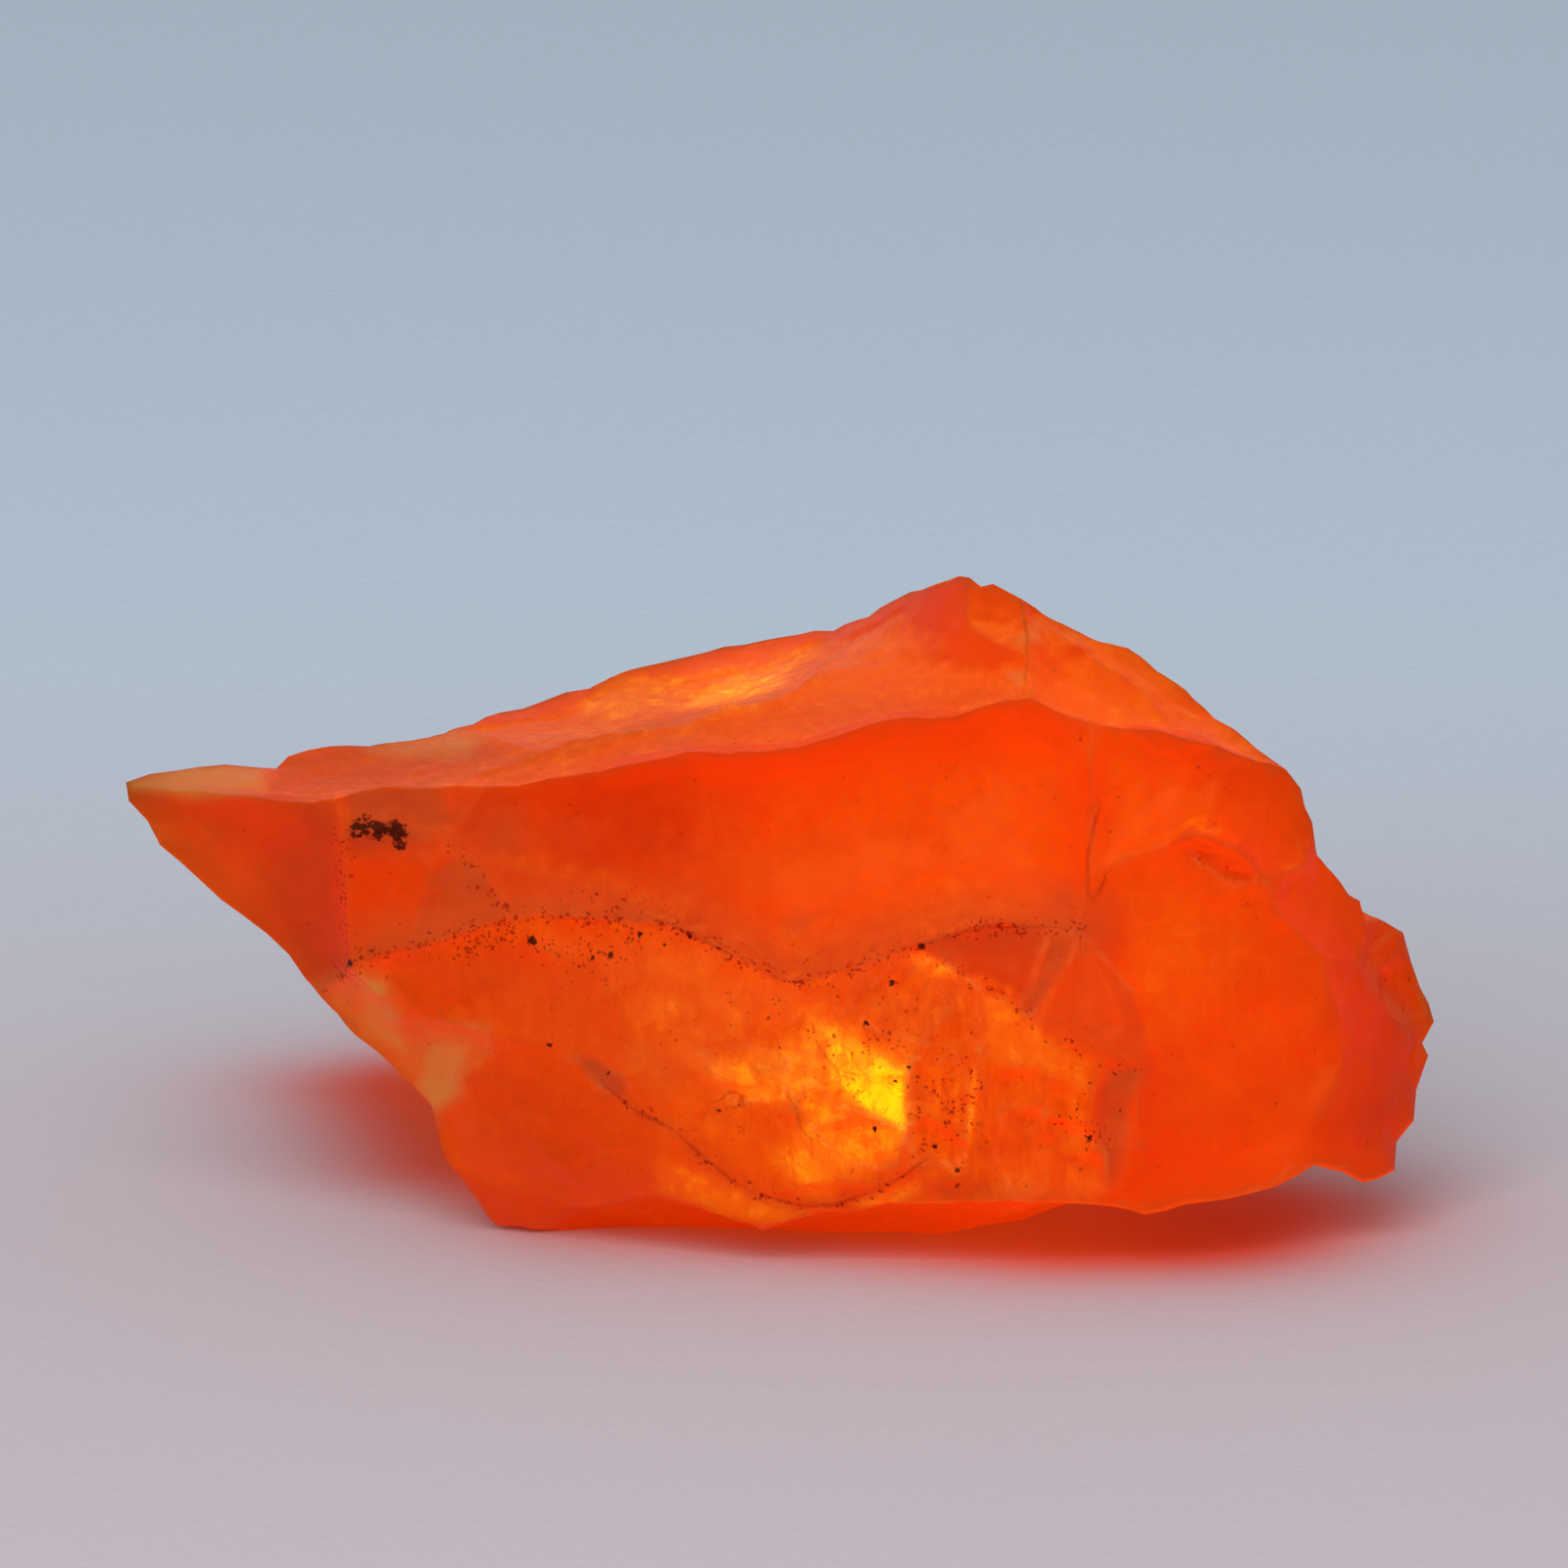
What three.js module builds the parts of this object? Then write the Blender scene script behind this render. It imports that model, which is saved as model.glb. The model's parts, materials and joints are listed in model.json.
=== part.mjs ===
// A rough orange gemstone, one broken piece of cloudy, see-through stone.
//
// The stone is a closed skin of fracture faces. Each face is a ring of named corners. The rings are
// filled with small triangles, the shared edges are chipped, and each face is then dished or bulged
// and rippled the way glassy stone breaks. All lengths are in millimetres, +Z is up, the long axis
// is X, and the side with the large hollow faces -Y.

import * as THREE from "three";
import { ImprovedNoise } from "three/addons/math/ImprovedNoise.js";

// ---- Driving dimensions -------------------------------------------------------------------------

const LONGEST_EDGE = 0.58; // an edge longer than this is split in two
const CHIP_SHARE = 0.12; // how far a split point strays from a broken edge, per length of edge
const CHIP_SIZE = 0.37; // size of the pattern that the chips follow
const PATTERN_SHIFTS = [31.4, 57.7]; // these keep the sideways and the upward strays unlike
const FACING_X = 0.8; // a face that looks along X more than this is laid out from Y instead
const EVENING_ROUNDS = 6; // rounds of turning edges and spreading points over a face
const SPREAD = 0.55; // how far a point moves towards the middle of its neighbours in one move
const ROUND_SPREADS = 2; // moves of the points in each of those rounds
const FINAL_SPREADS = 24; // moves of the points after the last edge is turned
const FLAT_ANGLE = 1e-6; // an edge is turned only if that gains more than this angle, in radians
const DISH_ROUNDS = 260; // sweeps that settle the depth of a dish over its face
const RIPPLE_FADE = 0.35; // part of a dish's depth over which its ripples fade in from the edge
const RIPPLE_SPACING = 1.85; // distance from one ripple of a dish to the next
const RIPPLE_WANDER = 1.5; // how far the ripples bend with the lumps, in radians
const LUMP_SIZE = 0.8; // size of the lumps on a coarse face
const GRAIN_SIZE = 0.53; // size of the smaller lumps among them
const GEM_ORANGE = 0xf0480a;

// ---- Corners ------------------------------------------------------------------------------------

const corners = new Map();

// Adds the corners name1, name2, ... along one line of the stone.
function line(name, points) {
  points.forEach((point, i) => corners.set(`${name}${i + 1}`, new THREE.Vector3(...point)));
}

// The pointed end, and the edge that runs from it down to the foot.
line("tip", [[-11.15, -3.5, 8.05], [-11.1, -3.6, 7.75]]);
line("beak", [[-9.9, -3.7, 6.4], [-8.4, -3.7, 5.1], [-7.95, -3.7, 4.45]]);
line("jaw", [[-7.3, -3.7, 3.7], [-6.65, -3.6, 3.1], [-6, -3.5, 2.4], [-5.8, -3.3, 1.5], [-5.35, -2.9, 0.6]]);

// The lower front edge, which hangs over the surface that the stone rests on.
line("keel", [
  [-3.7, -3.3, 0.55], [-2.25, -4.6, 1.1], [-1.35, -5, 0.95], [-0.4, -5.2, 0.7], [1.75, -5.4, 1.15],
  [3.1, -5.5, 1.2], [4.5, -5.5, 1.2], [5.5, -5.3, 1.1], [6.1, -5.3, 0.95], [7.5, -5, 1.15],
  [8.35, -4.7, 1.3], [9, -4.4, 1.6], [9.85, -3.8, 1.15], [10.4, -3.3, 1.25],
]);

// The blunt end, from its lowest corner up to the crest.
line("end", [
  [10.45, -2.9, 1.65], [10.75, -2.6, 1.95], [10.8, -2.4, 2.45], [11, -2.2, 3], [10.9, -2.1, 3.2],
  [11.1, -2, 3.55], [10.85, -2.2, 4.2], [10.55, -2.4, 5.2], [10.2, -2.6, 5.45], [9.9, -3, 5.5],
  [9.8, -3, 5.9], [9.6, -3.2, 6.05], [9.3, -3.4, 6.5], [9.05, -3.6, 6.8], [8.95, -3.7, 7.4],
  [8.75, -3.8, 8], [8.5, -3.9, 8.35],
]);
line("crest", [
  [8, -3.5, 8.65], [7.3, -3.1, 9.1], [6.35, -2.6, 9.8], [5.85, -2.3, 10.15], [5, -2.2, 10.4],
  [4.05, -2.2, 10.95],
]);
line("apex", [
  [3.7, -2, 11.1], [3.55, -2, 11.18], [3.35, -1.95, 11.12], [3.15, -1.8, 11.25], [2.5, -0.8, 10.9],
]);

// The thin back edge of the top, from the apex to the pointed end.
line("back", [
  [1.65, 0.8, 10.2], [0.85, 2, 9.55], [-0.35, 2.4, 9.3], [-1.65, 2, 9.1], [-2.65, 1.6, 8.95],
  [-3.35, 1.2, 8.7], [-4.85, 0.4, 8.45], [-5.8, -0.3, 8.25], [-8.45, -1.6, 8.1], [-8.65, -1.9, 7.95],
  [-10.35, -2.8, 8.1],
]);

// The edges of the narrow top face, which widens from the pointed end up to the apex.
line("brow", [[-10, -4, 8.05], [-8.6, -4.3, 7.9], [-7.6, -4.5, 8], [-6, -4.1, 8.1]]);
line("upper", [
  [-5, -3.5, 8.3], [-4.25, -3.3, 8.5], [-3, -3.2, 8.85], [-1.65, -3, 9], [-0.15, -2.7, 9.35],
  [0.6, -1.6, 9.6],
]);
line("rim", [
  [-5, -4.5, 8.2], [-4, -4.4, 8.3], [-1.65, -4.3, 8.75], [0.85, -4.3, 9], [2.5, -4.2, 9.3],
  [4.15, -4.2, 9.65],
]);
line("split", [[4.15, -3.6, 9.95], [4.1, -2.9, 10.5], [3.1, -2.4, 10.65]]);
line("spur", [[5.2, -4.4, 9.25], [7.35, -4.4, 8.85], [4.95, -2.7, 10.3], [6, -3.2, 9.65]]);

// The seam behind the pointed end, the small faces beside it, and the edge of the large hollow.
line("seam", [[-7.45, -4.9, 7.35], [-7.3, -4.9, 5.15]]);
line("dent", [
  [-6.6, -4.75, 7.65], [-5.75, -4.8, 7.2], [-5.95, -5, 6.85], [-5.15, -4.85, 7], [-6.4, -5.1, 5.5],
  [-5, -5.15, 5.95], [-4.75, -5.1, 6.4],
]);
line("scar", [
  [-4.1, -4.95, 6.75], [-3, -5, 6.45], [-1.85, -5.1, 5.95], [-0.85, -5.2, 5.45], [-0.1, -5.25, 5],
  [0.6, -5.25, 4.95], [1.35, -5.25, 5.35], [2.25, -5.3, 5.65], [3.35, -5.2, 5.95], [4, -5.15, 5.95],
  [4.55, -5.15, 5.85], [5, -5.2, 5.9], [5.1, -5, 6.65], [5.2, -4.85, 7.45],
]);
line("moon", [
  [-4.65, -5.25, 6.05], [-3.35, -5.3, 6.1], [-4.35, -5.2, 5.65], [-3.35, -5.3, 5.4], [-2.5, -5.3, 5.55],
]);

// The coarse belly under the large hollow.
line("cheek", [[-6.5, -4.5, 4.2], [-5.7, -4.7, 4.15], [-4.65, -5, 3.9], [-5.3, -4.4, 3.1]]);
line("fold", [
  [-3.55, -5.3, 3.7], [-2.5, -5.35, 2.75], [-1.25, -5.4, 1.9], [-0.4, -5.3, 1.3], [0.85, -5.4, 1.1],
  [1.75, -5.55, 1.5],
]);
line("belly", [
  [-1.1, -5.7, 3.4], [0, -5.6, 4.4], [0.05, -5.85, 3.25], [0.3, -5.8, 2.45], [0.75, -5.6, 1.65],
  [1.35, -5.7, 4.3],
]);
line("core", [[0.85, -5.85, 3.4], [2.1, -5.9, 3.55], [2.1, -5.8, 2.5], [1.35, -5.75, 2.85]]);
line("flake", [
  [2.7, -5.7, 4.5], [3.35, -5.8, 3.8], [3.4, -5.75, 2.7], [3.1, -5.6, 1.65], [4.35, -5.75, 3.6],
]);
line("wedge", [
  [2.75, -5.35, 5.35], [3.35, -5.5, 4.95], [4.1, -5.55, 4.4], [4.35, -5.6, 4.25], [4.75, -5.6, 4.05],
  [5.4, -5.55, 3.7], [6.05, -5.3, 3.5], [5.5, -5.3, 4.85],
]);
line("veil", [[5.25, -5.6, 3.1], [5.2, -5.6, 2.5], [5.45, -5.5, 1.8], [5.95, -5.35, 2.45]]);

// The smooth block towards the blunt end, with an arched edge across it.
line("arch", [[5.35, -4.95, 6.8], [6.4, -4.9, 7.25], [7.4, -4.7, 7.05], [8.1, -4.6, 6.6], [8.85, -4, 6.75]]);
line("ledge", [[6.9, -4.95, 7.45], [7.6, -4.9, 7.2]]);
line("block", [[8.4, -4.45, 5.95], [9.15, -4.1, 5.15], [9.5, -4, 3.35]]);
line("shell", [[9.8, -3.4, 4.85], [10.15, -3.1, 4.15], [10.65, -2.6, 3.55]]);

// The flat spot that the stone rests on, and the broken faces under and behind it.
line("sole", [
  [-5, -2.5, 0], [-4.2, -2.7, 0], [-2.6, -2.2, 0], [0.2, -2.5, 0], [2.7, -2.7, 0], [4.1, -1.7, 0],
  [3.8, 0.1, 0], [1.9, 1.1, 0], [-0.6, 1.2, 0], [-3, 0.4, 0], [-4.6, -1, 0],
]);
line("under", [[8.1, -2.2, 0.8], [9.5, -1.3, 1.2]]);
line("heel", [[7.3, 0.9, 1], [3.8, 3.4, 0.9], [-0.4, 4.1, 0.7], [-3.5, 2.7, 0.9], [-5.5, 0.2, 1.3]]);
line("waist", [
  [-6.7, -1.1, 3.7], [-4.7, 2, 3.5], [-1.7, 4.2, 3.2], [1.3, 5.1, 3.5], [4.3, 4.6, 3.3], [7.1, 2.8, 3.5],
  [9.4, 0.3, 3.3],
]);
line("flank", [[-8.1, -1.7, 6.3], [-5.7, 0.5, 6]]);
line("lip", [[-3.4, 2.6, 5.7], [-0.9, 3.7, 5.5], [1.9, 3.4, 6.4], [3.5, 1.4, 8.3]]);
line("shoulder", [[5.7, 1.3, 7.7], [7.6, -0.2, 6.8], [8.9, -0.9, 5.4]]);

// ---- Fracture faces -----------------------------------------------------------------------------

// Each ring of corners runs anticlockwise as seen from outside. A name with a span, such as
// rim2..5 or rim5..2, stands for the corners between those numbers. dish is how deep the face is
// hollowed at its middle (a negative one bulges), ripple is the height of the ripples that spread
// over it from the strike corner, and coarse is the height of its lumps.
const FACES = [
  // The pointed end.
  { ring: "tip1..2 beak1..3 seam2 seam1 brow3..1", dish: 0.22, ripple: 0.02, strike: "brow3", coarse: 0.03 },
  { ring: "tip1 brow1..4 upper1..2 back8..11", dish: 0.12, coarse: 0.06 },
  { ring: "brow3 seam1 dent1..2 rim1 brow4", dish: 0.1, coarse: 0.04 },
  { ring: "seam1..2 dent5 dent3 dent2 dent1", dish: 0.12, coarse: 0.03 },
  { ring: "dent2..3 dent5..7 dent4", dish: 0.06, coarse: 0.05 },

  // The top, from the thin back edge to the crest over the blunt end.
  { ring: "upper2..6 back2..8", dish: 0.35, ripple: 0.03, strike: "back2" },
  {
    ring: "brow4 rim1..6 split1 split3 apex4..5 back1..2 upper6..1",
    dish: 0.18, ripple: 0.02, strike: "apex4",
  },
  { ring: "split3 split1..2 crest6 apex1..4", dish: 0.07 },
  { ring: "rim6 spur1..2 spur4..3 crest6 split2..1", dish: 0.1, ripple: 0.02, strike: "crest6" },
  { ring: "spur3..4 spur2 end17 crest1..6", dish: 0.06 },

  // The large hollow and the smooth block beside it.
  {
    ring: "rim1 dent2 dent4 scar1..14 spur1 rim6..2",
    dish: 0.95, ripple: 0.035, strike: "rim6", coarse: 0.02,
  },
  {
    ring: "spur1 scar14..13 arch1..2 ledge1..2 arch4..5 end14..17 spur2",
    dish: 0.3, ripple: 0.025, strike: "end17",
  },
  {
    ring: "scar12 wedge8..7 veil4 keel9..12 block3..1 arch4..1 scar13",
    dish: 0.32, ripple: 0.04, strike: "scar12",
  },
  { ring: "arch2..4 ledge2..1", dish: 0.05 },
  { ring: "block2..3 keel12..14 end1..5 shell3..1", dish: -0.12, coarse: 0.04 },
  { ring: "arch5..4 block1..2 shell1 end10..14", dish: 0.12 },
  { ring: "end10 shell1..3 end5..9", dish: 0.1, ripple: 0.04, strike: "end9" },

  // Small broken faces along the lower edge of the large hollow.
  { ring: "dent4 dent7 moon1..2 scar3..1", dish: 0.05, coarse: 0.06 },
  { ring: "moon1 moon3..5 scar3 moon2", dish: 0.08, coarse: 0.05 },
  { ring: "scar8 wedge1..3 scar11..9", dish: 0.22 },
  { ring: "scar11 wedge3..4 scar12", dish: 0.05 },
  { ring: "scar12 wedge4..8", dish: 0.1 },
  { ring: "wedge6 veil1..3 keel8..9 veil4 wedge7", dish: 0.16, coarse: 0.05 },

  // The cheek and the foot, under the pointed end.
  { ring: "seam2 beak3 jaw1..3 cheek4..1", dish: 0.08, coarse: 0.05 },
  { ring: "dent5 seam2 cheek1..3 fold1 moon4..3 moon1 dent7..6", dish: 0.1, coarse: 0.1 },
  {
    ring: "jaw3..5 sole1..2 keel1..4 fold4..1 cheek3..4",
    dish: -0.3, ripple: 0.02, strike: "fold1", coarse: 0.04,
  },

  // The belly.
  { ring: "moon4 fold1..2 belly1..2 scar5..3 moon5", dish: -0.1, coarse: 0.11 },
  { ring: "belly1 fold2..4 belly5..3", dish: 0.08, coarse: 0.1 },
  { ring: "belly2..1 belly3 core1 belly6", dish: -0.05, coarse: 0.12 },
  { ring: "scar5 belly2 belly6 scar7..6", dish: -0.04, coarse: 0.1 },
  { ring: "belly6 core1..2 flake1 wedge1 scar8..7", dish: 0.06, coarse: 0.1 },
  { ring: "belly3..4 core4 core1", dish: 0.06, coarse: 0.04 },
  { ring: "belly4..5 fold6 core3..4", dish: 0.08, coarse: 0.05 },
  { ring: "core1 core4..2", dish: 0.1 },
  { ring: "belly5 fold4..6", dish: 0.04, coarse: 0.04 },
  { ring: "fold4 keel4..5 fold6..5", dish: 0.04 },
  { ring: "core2..3 fold6 flake4..1", dish: 0.06, coarse: 0.12 },
  { ring: "fold6 keel5..6 flake4", dish: 0.03 },
  { ring: "wedge1 flake1..2 flake5 wedge5..2", dish: -0.06, coarse: 0.06 },
  { ring: "flake2 flake3..4 keel6..7 flake5", dish: 0.1, coarse: 0.06 },
  { ring: "flake5 keel7..8 veil3..1 wedge6..5", dish: 0.12, coarse: 0.05 },

  // Under the stone, around the flat spot.
  { ring: "sole2..4 keel4..1", dish: 0.25, coarse: 0.06 },
  { ring: "sole4..5 keel7..4", dish: 0.2, coarse: 0.06 },
  { ring: "sole5..6 under1 keel11..7", dish: 0.25, coarse: 0.05 },
  { ring: "under1..2 keel14..11", dish: 0.15, coarse: 0.05 },
  { ring: "sole6..7 heel1 under2..1", dish: 0.15, coarse: 0.08 },
  { ring: "sole7..8 heel2..1", dish: 0.15, coarse: 0.08 },
  { ring: "sole8..9 heel3..2", dish: 0.12, coarse: 0.1 },
  { ring: "sole9..10 heel4..3", dish: 0.12, coarse: 0.1 },
  { ring: "sole10..11 heel5..4", dish: 0.1, coarse: 0.08 },
  { ring: "sole11 sole1 jaw5..4 heel5", dish: 0.08, coarse: 0.05 },

  // The back of the pointed end.
  { ring: "tip1 back11..10 flank1 beak2..1 tip2", dish: 0.12, ripple: 0.02, strike: "back10" },
  { ring: "back10..8 flank2..1", dish: 0.12, coarse: 0.05 },
  { ring: "beak2 flank1..2 waist1 jaw1 beak3", dish: 0.3, ripple: 0.03, strike: "flank2" },
  { ring: "waist1 flank2 waist2 heel4..5", dish: 0.35, ripple: 0.04, strike: "waist2" },
  { ring: "jaw4..1 waist1 heel5", dish: 0.2, coarse: 0.05 },

  // The back: a deep hollow under the thin back edge, over a bulging lower half.
  { ring: "back8..5 lip1 flank2", dish: 0.55, ripple: 0.03, strike: "back6" },
  { ring: "back5..2 lip3..1", dish: 1.1, ripple: 0.05, strike: "back3" },
  { ring: "back2..1 apex5 lip4..3", dish: 0.4, ripple: 0.04, strike: "apex5" },
  { ring: "flank2 lip1..2 waist3..2", dish: 0.3, coarse: 0.08 },
  { ring: "lip2..3 waist4..3", dish: 0.25, coarse: 0.08 },
  { ring: "apex5..1 crest6..4 shoulder1 lip4", dish: 0.35, ripple: 0.04, strike: "apex1" },
  { ring: "crest4..2 shoulder2..1", dish: 0.25, ripple: 0.03, strike: "crest3" },
  { ring: "crest2..1 end17..13 shoulder3..2", dish: 0.25, ripple: 0.03, strike: "end17" },
  { ring: "lip4 shoulder1 waist5..4 lip3", dish: 0.55, ripple: 0.05, strike: "shoulder1" },
  { ring: "shoulder1..2 waist6..5", dish: 0.4, ripple: 0.04, strike: "shoulder2" },
  { ring: "shoulder2..3 waist7..6", dish: 0.25, coarse: 0.06 },
  { ring: "end13..8 waist7 shoulder3", dish: 0.15, ripple: 0.03, strike: "end10" },
  { ring: "end8..1 keel14 under2 waist7", dish: 0.25, coarse: 0.05 },
  { ring: "waist7 under2 heel1 waist6", dish: 0.2, coarse: 0.08 },
  { ring: "waist6 heel1..2 waist5", dish: 0.3, ripple: 0.04, strike: "waist5" },
  { ring: "waist5 heel2..3 waist4", dish: 0.2, coarse: 0.1 },
  { ring: "waist4 heel3..4 waist2..3", dish: 0.35, ripple: 0.04, strike: "waist3" },
];

// Three points that give the flat spot inside the sole corners one large triangle.
const SOLE_MIDDLE = [[-1.2, -1.5, 0], [0.4, 0.4, 0], [2, -1.5, 0]];

// Turns "rim2..4 apex1" into ["rim2", "rim3", "rim4", "apex1"].
function cornerNames(ring) {
  return ring.split(" ").flatMap((word) => {
    const [, name, first, last] = word.match(/^([a-z]+)(\d+)(?:\.\.(\d+))?$/);
    const from = Number(first);
    const to = Number(last ?? first);
    const step = to < from ? -1 : 1;
    return Array.from({ length: Math.abs(to - from) + 1 }, (_, i) => `${name}${from + i * step}`);
  });
}

// ---- The skin: points, and triangles [a, b, c, face] ----------------------------------------------

const noise = new ImprovedNoise();
const points = [...corners.values()].map((corner) => corner.clone());
const numberOf = new Map([...corners.keys()].map((name, i) => [name, i]));
const ringOf = (ring) => cornerNames(ring).map((name) => numberOf.get(name));
const edgeKey = (a, b) => (a < b ? `${a} ${b}` : `${b} ${a}`);
const edgesOf = ([a, b, c]) => [[a, b], [b, c], [c, a]];

// Newell's normal of a ring of points, as long as twice the ring's area.
function ringNormal(ring) {
  const normal = new THREE.Vector3();
  ring.forEach((a, i) => {
    const b = ring[(i + 1) % ring.length];
    normal.add(points[a].clone().cross(points[b]));
  });
  return normal;
}

// Fills a ring, and the hole in it if one is given, with triangles in the plane that fits it best.
function fillRing(ring, hole = []) {
  const up = ringNormal(ring).normalize();
  const guide = Math.abs(up.x) < FACING_X ? [1, 0, 0] : [0, 1, 0];
  const across = new THREE.Vector3(...guide).cross(up).normalize();
  const along = up.clone().cross(across);
  const flat = (i) => new THREE.Vector2(points[i].dot(across), points[i].dot(along));
  const all = [...ring, ...hole];
  const fill = THREE.ShapeUtils.triangulateShape(ring.map(flat), hole.length ? [hole.map(flat)] : []);
  return fill.map((triangle) => {
    const [a, b, c] = triangle.map((i) => all[i]);
    return ringNormal([a, b, c]).dot(up) > 0 ? [a, b, c] : [a, c, b];
  });
}

// Gives the function that names an edge. An edge inside a face carries the face's number as well,
// because two faces that share three corners in a row may each join the outer two.
function edgeNamer(triangles) {
  const directed = new Set();
  for (const triangle of triangles) {
    for (const [a, b] of edgesOf(triangle)) directed.add(`${a} ${b} ${triangle[3]}`);
  }
  return (a, b, face) => {
    const inside = directed.has(`${a} ${b} ${face}`) && directed.has(`${b} ${a} ${face}`);
    return inside ? `${edgeKey(a, b)} ${face}` : edgeKey(a, b);
  };
}

// The point in the middle of an edge. On an edge between two faces it strays a little sideways, and
// on the flat spot it stays at height 0.
function middlePoint(a, b, broken) {
  const middle = points[a].clone().add(points[b]).multiplyScalar(0.5);
  if (!broken) return middle;
  const edge = points[b].clone().sub(points[a]);
  const at = middle.clone().divideScalar(CHIP_SIZE);
  const stray = new THREE.Vector3(
    noise.noise(at.x, at.y, at.z),
    noise.noise(at.y + PATTERN_SHIFTS[0], at.z, at.x),
    noise.noise(at.z, at.x + PATTERN_SHIFTS[1], at.y),
  );
  stray.multiplyScalar(CHIP_SHARE * edge.length());
  stray.addScaledVector(edge, -stray.dot(edge) / edge.lengthSq());
  if (points[a].z === 0 && points[b].z === 0) stray.z = 0;
  return middle.add(stray);
}

// Splits every edge longer than the limit once. Returns the new triangles.
function splitLongEdges(triangles, limit) {
  const nameOf = edgeNamer(triangles);
  const middles = new Map();
  const middleOf = (a, b, face) => {
    if (points[a].distanceTo(points[b]) <= limit) return undefined;
    const name = nameOf(a, b, face);
    if (!middles.has(name)) {
      const broken = name === edgeKey(a, b);
      middles.set(name, points.push(middlePoint(Math.min(a, b), Math.max(a, b), broken)) - 1);
    }
    return middles.get(name);
  };
  return triangles.flatMap((triangle) => {
    const [a, b, c, face] = triangle;
    const [ab, bc, ca] = edgesOf(triangle).map(([from, to]) => middleOf(from, to, face));
    const outline = [a, ab, b, bc, c, ca].filter((point) => point !== undefined);
    return fanFrom(outline, [ab, bc, ca], face);
  });
}

// Cuts an outline of 3 to 6 points, which has up to three new middle points, into triangles.
function fanFrom(outline, middles, face) {
  const added = middles.filter((point) => point !== undefined);
  if (added.length === 3) {
    const [a, ab, b, bc, c, ca] = outline;
    return [[a, ab, ca, face], [ab, b, bc, face], [ca, bc, c, face], [ab, bc, ca, face]];
  }
  const start = outline.indexOf(added[0] ?? outline[0]);
  const turned = [...outline.slice(start), ...outline.slice(0, start)];
  return turned.slice(1, -1).map((_, i) => [turned[0], turned[i + 1], turned[i + 2], face]);
}

// The corner of a triangle that lies across from the edge a-b.
const acrossFrom = (triangle, a, b) => triangle.slice(0, 3).find((point) => point !== a && point !== b);

function cornerAngle(at, a, b) {
  return points[a].clone().sub(points[at]).angleTo(points[b].clone().sub(points[at]));
}

// Turns each edge inside a face that would be better placed across its two triangles.
function turnEdges(triangles) {
  const nameOf = edgeNamer(triangles);
  const owners = new Map();
  const joined = new Set();
  triangles.forEach((triangle, i) => {
    for (const [a, b] of edgesOf(triangle)) {
      const name = nameOf(a, b, triangle[3]);
      owners.set(name, [...(owners.get(name) ?? []), i]);
      joined.add(edgeKey(a, b));
    }
  });
  const turned = new Set();
  for (const [name, [one, other]] of owners) {
    const [a, b, face] = name.split(" ").map(Number);
    if (face === undefined || turned.has(one) || turned.has(other)) continue;
    const c = acrossFrom(triangles[one], a, b);
    const d = acrossFrom(triangles[other], a, b);
    if (joined.has(edgeKey(c, d))) continue;
    if (cornerAngle(c, a, b) + cornerAngle(d, a, b) <= Math.PI + FLAT_ANGLE) continue;
    const forward = edgesOf(triangles[one]).some(([from, to]) => from === a && to === b);
    const [from, to] = forward ? [a, b] : [b, a];
    const first = [from, d, c];
    const second = [d, to, c];
    const up = ringNormal(triangles[one].slice(0, 3)).add(ringNormal(triangles[other].slice(0, 3)));
    if (ringNormal(first).dot(up) <= 0 || ringNormal(second).dot(up) <= 0) continue;
    triangles[one] = [...first, face];
    triangles[other] = [...second, face];
    joined.add(edgeKey(c, d));
    turned.add(one).add(other);
  }
}

// The neighbours of each point that lies inside one face. Points on an edge of a face have none.
function neighboursInside(triangles) {
  const facesAt = points.map(() => new Set());
  const near = points.map(() => new Set());
  for (const triangle of triangles) {
    for (const [a, b] of edgesOf(triangle)) {
      near[a].add(b);
      near[b].add(a);
      facesAt[a].add(triangle[3]);
    }
  }
  for (const [a, b] of openEdges(triangles)) {
    facesAt[a].add("sole");
    facesAt[b].add("sole");
  }
  return near.map((set, i) => (facesAt[i].size === 1 ? [...set] : []));
}

// The open edges of the skin, which are those around the flat spot.
function openEdges(triangles) {
  const directed = new Map(triangles.flatMap(edgesOf).map(([a, b]) => [`${a} ${b}`, [a, b]]));
  return [...directed.values()].filter(([a, b]) => !directed.has(`${b} ${a}`));
}

// Moves the points inside each face towards the middle of their neighbours.
function spreadPoints(near, rounds) {
  for (let round = 0; round < rounds; round += 1) {
    near.forEach((others, i) => {
      if (!others.length) return;
      const middle = new THREE.Vector3();
      others.forEach((other) => middle.add(points[other]));
      points[i].lerp(middle.divideScalar(others.length), SPREAD);
    });
  }
}

// ---- The shape of each face -----------------------------------------------------------------------

// A number from 0 at a face's edges to 1 where it is furthest from them, for each point: the sag of
// a stretched cloth that carries an even load.
function sagOfFaces(triangles, near) {
  const sag = new Float64Array(points.length);
  for (let round = 0; round < DISH_ROUNDS; round += 1) {
    near.forEach((others, i) => {
      if (!others.length) return;
      sag[i] = 1 + others.reduce((sum, other) => sum + sag[other], 0) / others.length;
    });
  }
  const deepest = FACES.map(() => 0);
  for (const [a, b, c, face] of triangles) {
    deepest[face] = Math.max(deepest[face], sag[a], sag[b], sag[c]);
  }
  const faceOf = new Map(triangles.flatMap(([a, b, c, face]) => [[a, face], [b, face], [c, face]]));
  return sag.map((value, i) => (value ? value / deepest[faceOf.get(i)] : 0));
}

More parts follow.
